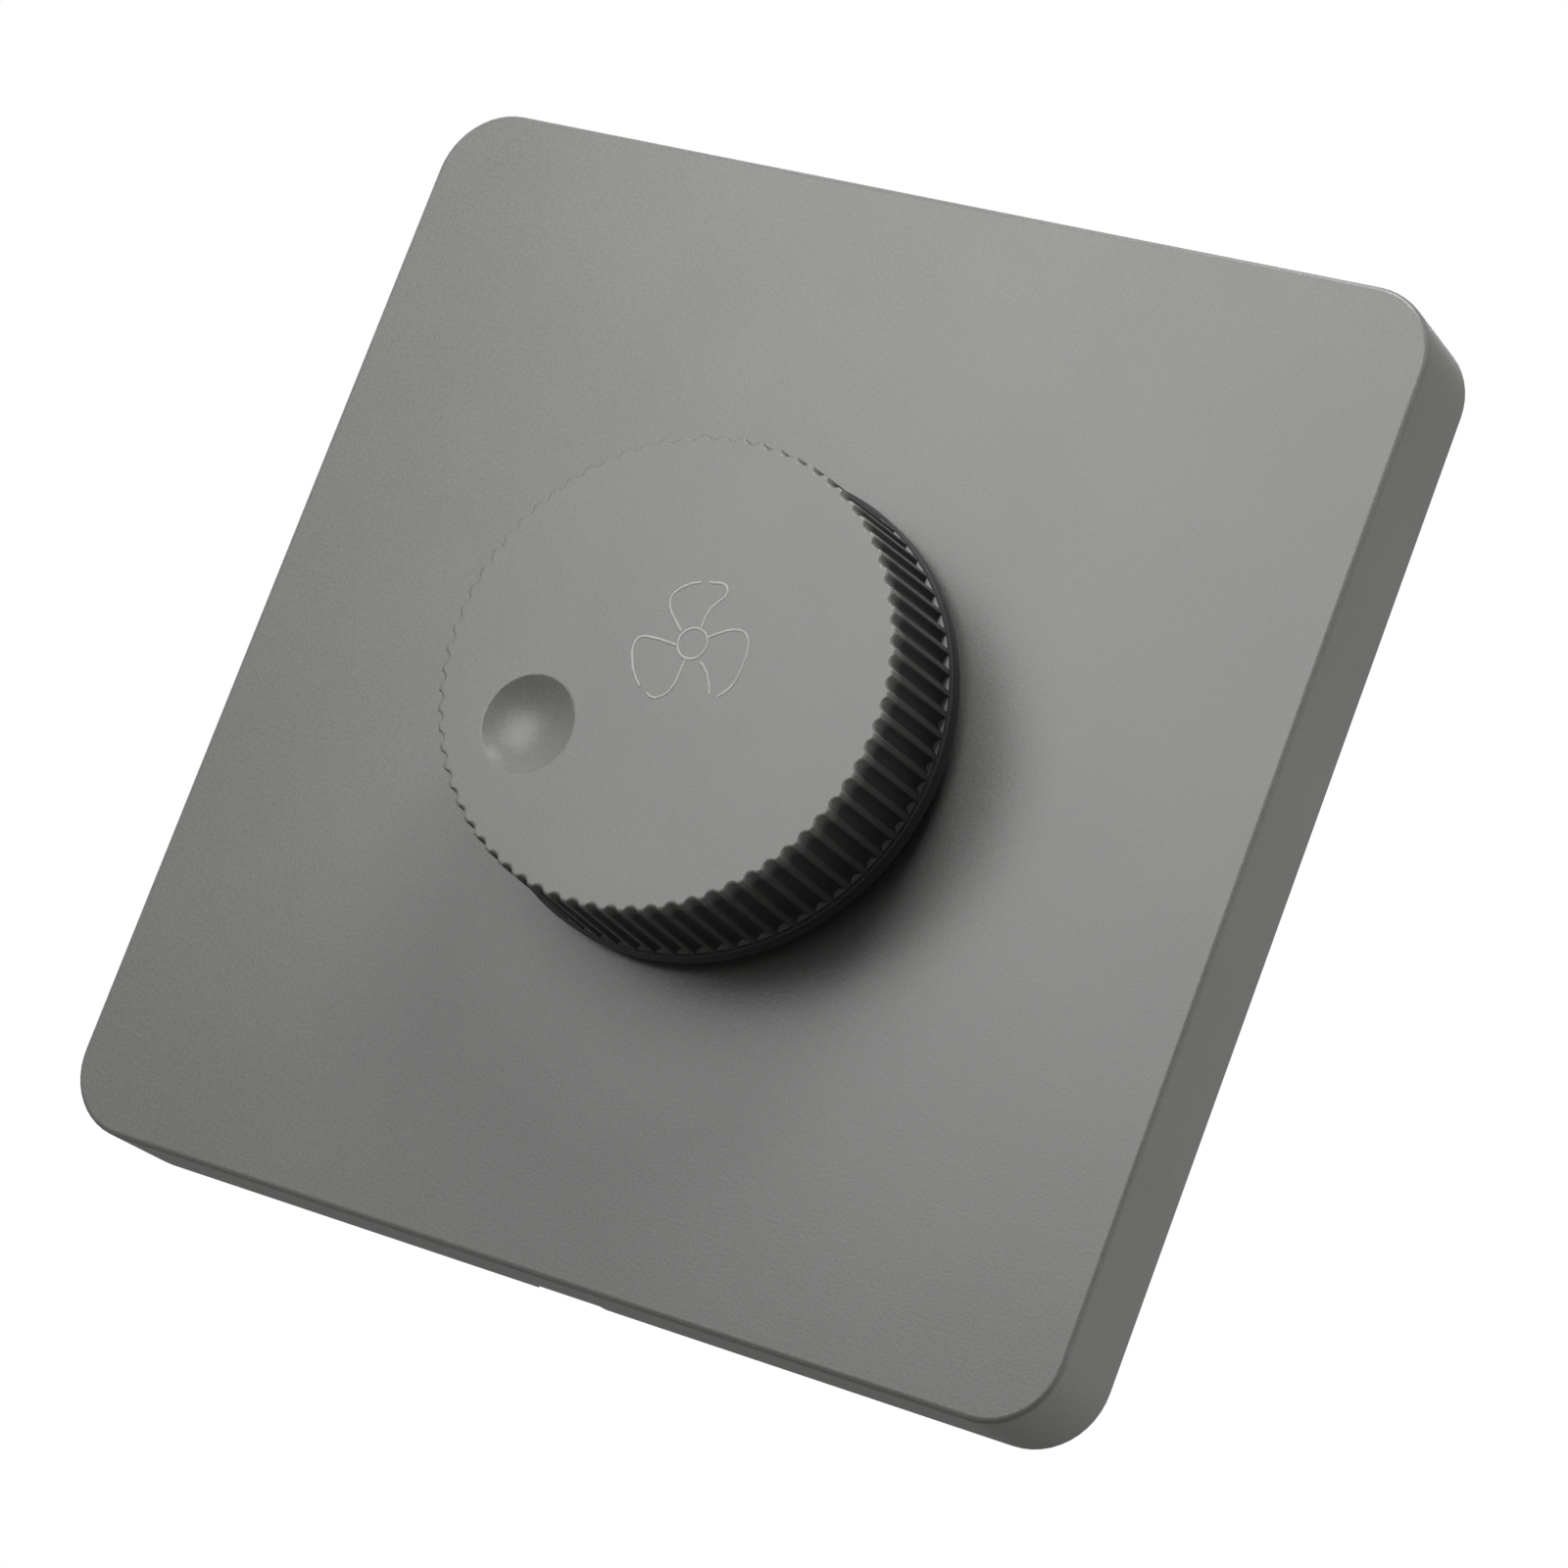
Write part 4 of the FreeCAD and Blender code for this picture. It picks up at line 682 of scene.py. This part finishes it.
# A ball sunk into the top, its rim rounded; gives back the ring of its border
def addDimple(mesh, k, m, level):
    corners = m["dimpleCorners"]
    angles = [2 * math.pi * i / corners for i in range(corners)]
    ball = (k["dimpleRadius"] ** 2 + k["dimpleDepth"] ** 2) / (2 * k["dimpleDepth"])
    rim = k["dimpleRound"]
    lift = ball - k["dimpleDepth"]
    reach = math.sqrt((ball + rim) ** 2 - (lift + rim) ** 2)
    lean = math.asin(reach / (ball + rim))
    profile = []
    for i in range(1, m["ballSteps"] + 1):
        a = lean * i / m["ballSteps"]
        profile.append((ball * math.sin(a), ball * math.cos(a) - lift))
    for i in range(1, m["rimSteps"] + 1):
        a = lean * (1 - i / m["rimSteps"])
        profile.append((reach - rim * math.sin(a), rim - rim * math.cos(a)))
    profile.append((reach + k["dimpleMargin"], 0))
    bottom = mesh.verts.new(
        (k["dimplePlace"][0] * mm, (level + k["dimpleDepth"]) * mm, k["dimplePlace"][1] * mm)
    )
    ring = None
    for radius, depth in profile:
        last = ring
        ring = addRing(mesh, angles, [radius] * corners, level + depth, k["dimplePlace"])
        if last:
            joinRings(mesh, last, ring, 0)
        else:
            for i in range(corners):
                mesh.faces.new((bottom, ring[i], ring[(i + 1) % corners]))
    return ring


def addRibs(mesh, k, ceiling):  # under the top, from the hub to the wall
    roots = k["ribRoots"]
    reaches = {0: k["hub"] - roots["hub"], 1: k["cavityTop"] + roots["wall"]}
    outline = ((0, -1), (1, -1), (1, 1), (0, 1))
    faces = ((0, 1, 2, 3), (4, 5, 6, 7), (0, 1, 5, 4), (1, 2, 6, 5), (2, 3, 7, 6), (3, 0, 4, 7))
    for i in range(k["ribCount"]):
        a = 2 * math.pi * i / k["ribCount"]
        along = Vector((math.cos(a), 0, math.sin(a)))
        across = Vector((-math.sin(a), 0, math.cos(a)))
        corners = []
        for level in (ceiling - roots["ceiling"], ceiling + k["ribHeight"]):
            for end, side in outline:
                spot = along * reaches[end] + across * side * k["ribWidth"] / 2
                corners.append(mesh.verts.new(Vector((spot.x, level, spot.z)) * mm))
        for face in faces:
            mesh.faces.new([corners[n] for n in face]).material_index = 1


def makeKnob(k, m):
    mesh = bmesh.new()
    top, foot = knobLow.y + k["inkRoom"], knobHigh.y
    flangeTop = foot - k["flangeHeight"]
    flange = knobHigh.x
    ceiling = top + k["skin"]
    tool = (k["fluteDepth"] ** 2 + k["fluteWidth"] ** 2 / 4) / (2 * k["fluteDepth"])
    pitch = 2 * math.pi / k["fluteCount"]
    half = math.asin(k["fluteWidth"] / 2 / k["crestTop"])
    beyond = math.radians(m["besideFlute"])
    spots = [half * s for s in m["fluteSpots"]]
    offsets = [-half - beyond, *spots, half + beyond, pitch / 2]
    angles = [pitch * i + o for i in range(k["fluteCount"]) for o in offsets]
    local = offsets * k["fluteCount"]
    count = len(angles)

    def fluted(level, inset=0.0):
        share = (level - top) / (flangeTop - top)
        crest = k["crestTop"] + share * (k["crestFoot"] - k["crestTop"])
        depth = k["fluteDepthTop"] + share * (k["fluteDepth"] - k["fluteDepthTop"])
        axis = crest - depth + tool
        radii = []
        for a in local:
            side = axis * math.sin(a)
            if abs(side) >= tool:
                radii.append(crest - inset)
                continue
            hollow = axis * math.cos(a) - math.sqrt(tool ** 2 - side ** 2)
            blend = max(k["crestSoftening"] - abs(hollow - crest), 0) / k["crestSoftening"]
            radii.append(min(hollow, crest) - blend ** 2 * k["crestSoftening"] / 4 - inset)
        return radii

    # each ring: its height, its radii and its finish, 0 for the face's and 1 for the wall's
    rings = [(top, fluted(top, k["topRound"] + k["topMargin"]), 0)]
    for s, c in quarter(m["topSteps"]):
        rings.append((top + k["topRound"] * (1 - c), fluted(top, k["topRound"] * (1 - s)), 0))
    wallEnd = flangeTop - k["footFillet"]
    for share in m["wallSpots"]:
        level = top + k["topRound"] + share * (wallEnd - top - k["topRound"])
        rings.append((level, fluted(level), 1))
    rings.append((flangeTop, fluted(flangeTop, -k["footFillet"]), 1))
    bend = k["flangeRound"]
    for s, c in quarter(m["flangeSteps"]):
        rings.append((flangeTop + bend * (1 - c), [flange - bend * (1 - s)] * count, 1))
    for s, c in quarter(m["flangeSteps"]):
        rings.append((foot - bend * (1 - s), [flange - bend * (1 - c)] * count, 1))
    rings.append((foot, [k["cavityFoot"]] * count, 1))
    rings.append((ceiling, [k["cavityTop"]] * count, 1))
    rings.append((ceiling, [k["hub"]] * count, 1))
    rings.append((foot, [k["hub"]] * count, 1))
    bore = [
        min(k["bore"], k["boreFlat"] / math.sin(a)) if math.sin(a) > 0 else k["bore"]
        for a in angles
    ]
    rings.append((foot, bore, 1))
    rings.append((ceiling, bore, 1))
    made = []
    for level, radii, finish in rings:
        made.append(addRing(mesh, angles, radii, level))
        if len(made) > 1:
            joinRings(mesh, made[-2], made[-1], finish)
    mesh.faces.new(made[-1]).material_index = 1

    border = []
    for ring in (made[0], addDimple(mesh, k, m, top)):
        for i, corner in enumerate(ring):
            border.append(mesh.edges.get((corner, ring[(i + 1) % len(ring)])))
    bmesh.ops.triangle_fill(mesh, use_beauty=True, edges=border)
    addRibs(mesh, k, ceiling)
    bmesh.ops.recalc_face_normals(mesh, faces=mesh.faces)
    data = bpy.data.meshes.new("knobCap")
    mesh.to_mesh(data)
    mesh.free()
    data.shade_smooth()
    data.set_sharp_from_angle(angle=math.radians(m["sharpFrom"]))
    return newPiece("knobCap", data)


# Flutes of the dark base plastic: the grey spray came from the front, so it fades out under the
# top's edge;
# the crests get spray dust and a painted highlight, the flange where a groove ends a painted
# highlight

fluteLook = {
    # the crest colour is spray dust and a painted highlight; the palest colour is a painted
    # highlight at the groove ends
    "groove": "#303030", "crest": "#525250", "spray": "#8a8a88", "paintedGrooveEndHighlight": "#b2b2af",
    "roughness": 0.45, "specular": 0.22, "relief": 0.2,
    "crestBand": 0.2, "fade": 1.5, "grain": 0.2, "grainHeight": 0.02,
    "ledgeFacing": (-0.6, -0.95),  # the normal's Y where a ledge begins and where it is full
    "ledgeMargin": 0.05,
}


def fluteFinish(look, k):
    material, tree = newMaterial("dustedFlutePlastic")
    coordinates = addNode(tree, "ShaderNodeTexCoord")
    place = coordinates.outputs["Object"]
    spot = addNode(tree, "ShaderNodeSeparateXYZ", None, {0: place})
    flat = addNode(tree, "ShaderNodeCombineXYZ", None, {0: spot.outputs[0], 1: spot.outputs[2]})
    radius = addNode(tree, "ShaderNodeVectorMath", {"operation": "LENGTH"}, {0: flat.outputs[0]})
    flangeTop = knobHigh.y - k["flangeHeight"]
    crest = addNode(  # crest radius at this height
        tree,
        "ShaderNodeMapRange",
        {
            "From Min": knobLow.y * mm,
            "From Max": flangeTop * mm,
            "To Min": (k["crestTop"] - look["crestBand"]) * mm,
            "To Max": (k["crestFoot"] - look["crestBand"]) * mm,
        },
        {"Value": spot.outputs[1]},
    )
    aboveGroove = addNode(
        tree,
        "ShaderNodeMath",
        {"operation": "SUBTRACT"},
        {0: radius.outputs["Value"], 1: crest.outputs[0]},
    )
    # crests lighter than the groove floors: spray dust and a painted highlight
    crestDustAndHighlightRamp = addNode(
        tree,
        "ShaderNodeMapRange",
        {"From Min": 0.0, "From Max": look["crestBand"] * mm},
        {"Value": aboveGroove.outputs[0]},
    )
    overFlange = addNode(
        tree,
        "ShaderNodeMath",
        {"operation": "LESS_THAN", 1: (flangeTop - k["footFillet"]) * mm},
        {0: spot.outputs[1]},
    )
    crestDustAndHighlight = addNode(
        tree,
        "ShaderNodeMath",
        {"operation": "MULTIPLY"},
        {0: crestDustAndHighlightRamp.outputs[0], 1: overFlange.outputs[0]},
    )
    base = addNode(
        tree,
        "ShaderNodeMix",
        {"data_type": "RGBA", 6: linearColour(look["groove"]), 7: linearColour(look["crest"])},
        {"Factor": crestDustAndHighlight.outputs[0]},
    )
    facing = addNode(tree, "ShaderNodeSeparateXYZ", None, {0: coordinates.outputs["Normal"]})
    ledgeStart, ledgeFull = look["ledgeFacing"]
    ledge = addNode(
        tree,
        "ShaderNodeMapRange",
        {"From Min": ledgeStart, "From Max": ledgeFull},
        {"Value": facing.outputs[1]},
    )
    inGroove = addNode(
        tree,
        "ShaderNodeMath",
        {"operation": "LESS_THAN", 1: (k["crestFoot"] - look["ledgeMargin"]) * mm},
        {0: radius.outputs["Value"]},
    )
    # painted highlight on the front-facing flange ledge at each groove's end
    grooveEndHighlightMask = addNode(
        tree,
        "ShaderNodeMath",
        {"operation": "MULTIPLY"},
        {0: ledge.outputs[0], 1: inGroove.outputs[0]},
    )
    edgeLevel = knobLow.y + k["topRound"]
    underEdge = addNode(
        tree,
        "ShaderNodeMapRange",
        {
            "From Min": edgeLevel * mm,
            "From Max": (edgeLevel + look["fade"]) * mm,
            "To Min": 1.0,
            "To Max": 0.0,
        },
        {"Value": spot.outputs[1]},
    )
    sprayed = addNode(
        tree,
        "ShaderNodeMix",
        {"data_type": "RGBA", 7: linearColour(look["spray"])},
        {"Factor": underEdge.outputs[0], 6: base.outputs[2]},
    )
    colour = addNode(  # painted highlight where a groove meets the flange, paler than the spray
        tree,
        "ShaderNodeMix",
        {"data_type": "RGBA", 7: linearColour(look["paintedGrooveEndHighlight"])},
        {"Factor": grooveEndHighlightMask.outputs[0], 6: sprayed.outputs[2]},
    )
    grain = addNode(
        tree,
        "ShaderNodeTexNoise",
        {"Scale": perMetre(look["grain"]), "Detail": 2.0},
        {"Vector": place},
    )
    relief = addNode(
        tree,
        "ShaderNodeBump",
        {"Strength": look["relief"], "Distance": look["grainHeight"] * mm},
        {"Height": grain.outputs[0]},
    )
    shader = addNode(
        tree,
        "ShaderNodeBsdfPrincipled",
        {"Roughness": look["roughness"], "IOR": 1.5, "Specular IOR Level": look["specular"]},
        {"Base Color": colour.outputs[2], "Normal": relief.outputs[0]},
    )
    addNode(tree, "ShaderNodeOutputMaterial", None, {"Surface": shader.outputs[0]})
    return material


knobCap = makeKnob(knobShape, knobMesh)
knobCap.data.materials.append(materials["knob_plastic"])
knobCap.data.materials.append(fluteFinish(fluteLook, knobShape))
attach(knobCap, "knob")
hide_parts("knob")
print("knob made:", len(knobCap.data.polygons), "faces")


# Fan pictogram: three blade outlines round a hub, printed as fine light lines on the knob's top

fanPictogram = {
    "lineWidth": 0.22,
    "stands": knobShape["inkRoom"],
    "hub": (1.55, 2.4, 1.17),  # x, z and radius
    "hubPoints": 12,
    "blades": [  # two open lines for each blade, as x and z
        [(0.3, 3.1), (-0.4, 3.7), (-1.35, 4.75), (-1.45, 5.5), (-0.5, 6.55), (0.4, 6.95)],
        [(1.1, 7.1), (2.5, 7.1), (2.75, 6.5), (2.3, 5.8), (1.95, 5.2), (1.8, 4.5), (1.8, 3.6)],
        [
            (2.6, 3.1), (3.3, 3.6), (4.5, 4.15), (5.3, 4.1),
            (5.85, 3.5), (6.1, 2.0), (5.85, 0.1), (5.1, -0.9),
        ],
        [(4.4, -0.9), (4.0, -0.1), (3.6, 0.5), (3.2, 0.9), (2.7, 1.25)],
        [
            (0.3, 2.0), (-1.8, 2.1), (-2.75, 1.9), (-3.0, 1.3),
            (-2.5, -0.2), (-2.0, -0.9), (-1.3, -1.6),
        ],
        [(-0.6, -1.9), (0.0, -2.15), (0.7, -1.9), (1.2, -1.3), (1.45, 0.4), (1.5, 1.2)],
    ],
    "stepsPerPoint": 6,
    "roundness": 2,
}


def makePictogram(p):
    curve = bpy.data.curves.new("fanPictogram", "CURVE")
    curve.dimensions = "3D"
    width = p["lineWidth"] / 2
    curve.bevel_depth = width * mm
    curve.bevel_resolution = p["roundness"]
    curve.resolution_u = p["stepsPerPoint"]
    level = knobLow.y + p["stands"]
    x, z, radius = p["hub"]
    turn = [2 * math.pi * i / p["hubPoints"] for i in range(p["hubPoints"])]
    hub = [(x + radius * math.cos(a), z + radius * math.sin(a)) for a in turn]
    for points, closed in [(hub, True)] + [(blade, False) for blade in p["blades"]]:
        spline = curve.splines.new("BEZIER")
        spline.bezier_points.add(len(points) - 1)
        spline.use_cyclic_u = closed
        for point, (px, pz) in zip(spline.bezier_points, points):
            point.co = (px * mm, level * mm, pz * mm)
            point.handle_left_type = point.handle_right_type = "AUTO"
    piece = newPiece("fanPictogramCurve", curve)
    bpy.context.view_layer.update()
    data = bpy.data.meshes.new_from_object(piece)
    bpy.data.objects.remove(piece)
    flatten = p["stands"] / width
    for vertex in data.vertices:  # press the round line flat on the top
        vertex.co.y = level * mm + (vertex.co.y - level * mm) * flatten
    data.name = "fanPictogram"
    data.shade_smooth()
    return newPiece("fanPictogram", data)


# Pad printing ink: paler than the plastic, thin and slightly broken
inkLook = {
    "dark": "#a8a8a5", "light": "#c4c4c0", "grain": 0.25, "cloud": 1.2, "speckle": 0.5,
    "roughness": 0.5, "relief": 0.2, "specular": 0.3,
}
pictogram = makePictogram(fanPictogram)
pictogram.data.materials.clear()
pictogram.data.materials.append(mouldedPlastic("padPrintedInk", inkLook))
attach(pictogram, "knob")
print("pictogram made")

bpy.context.scene.view_settings.view_transform = "Standard"
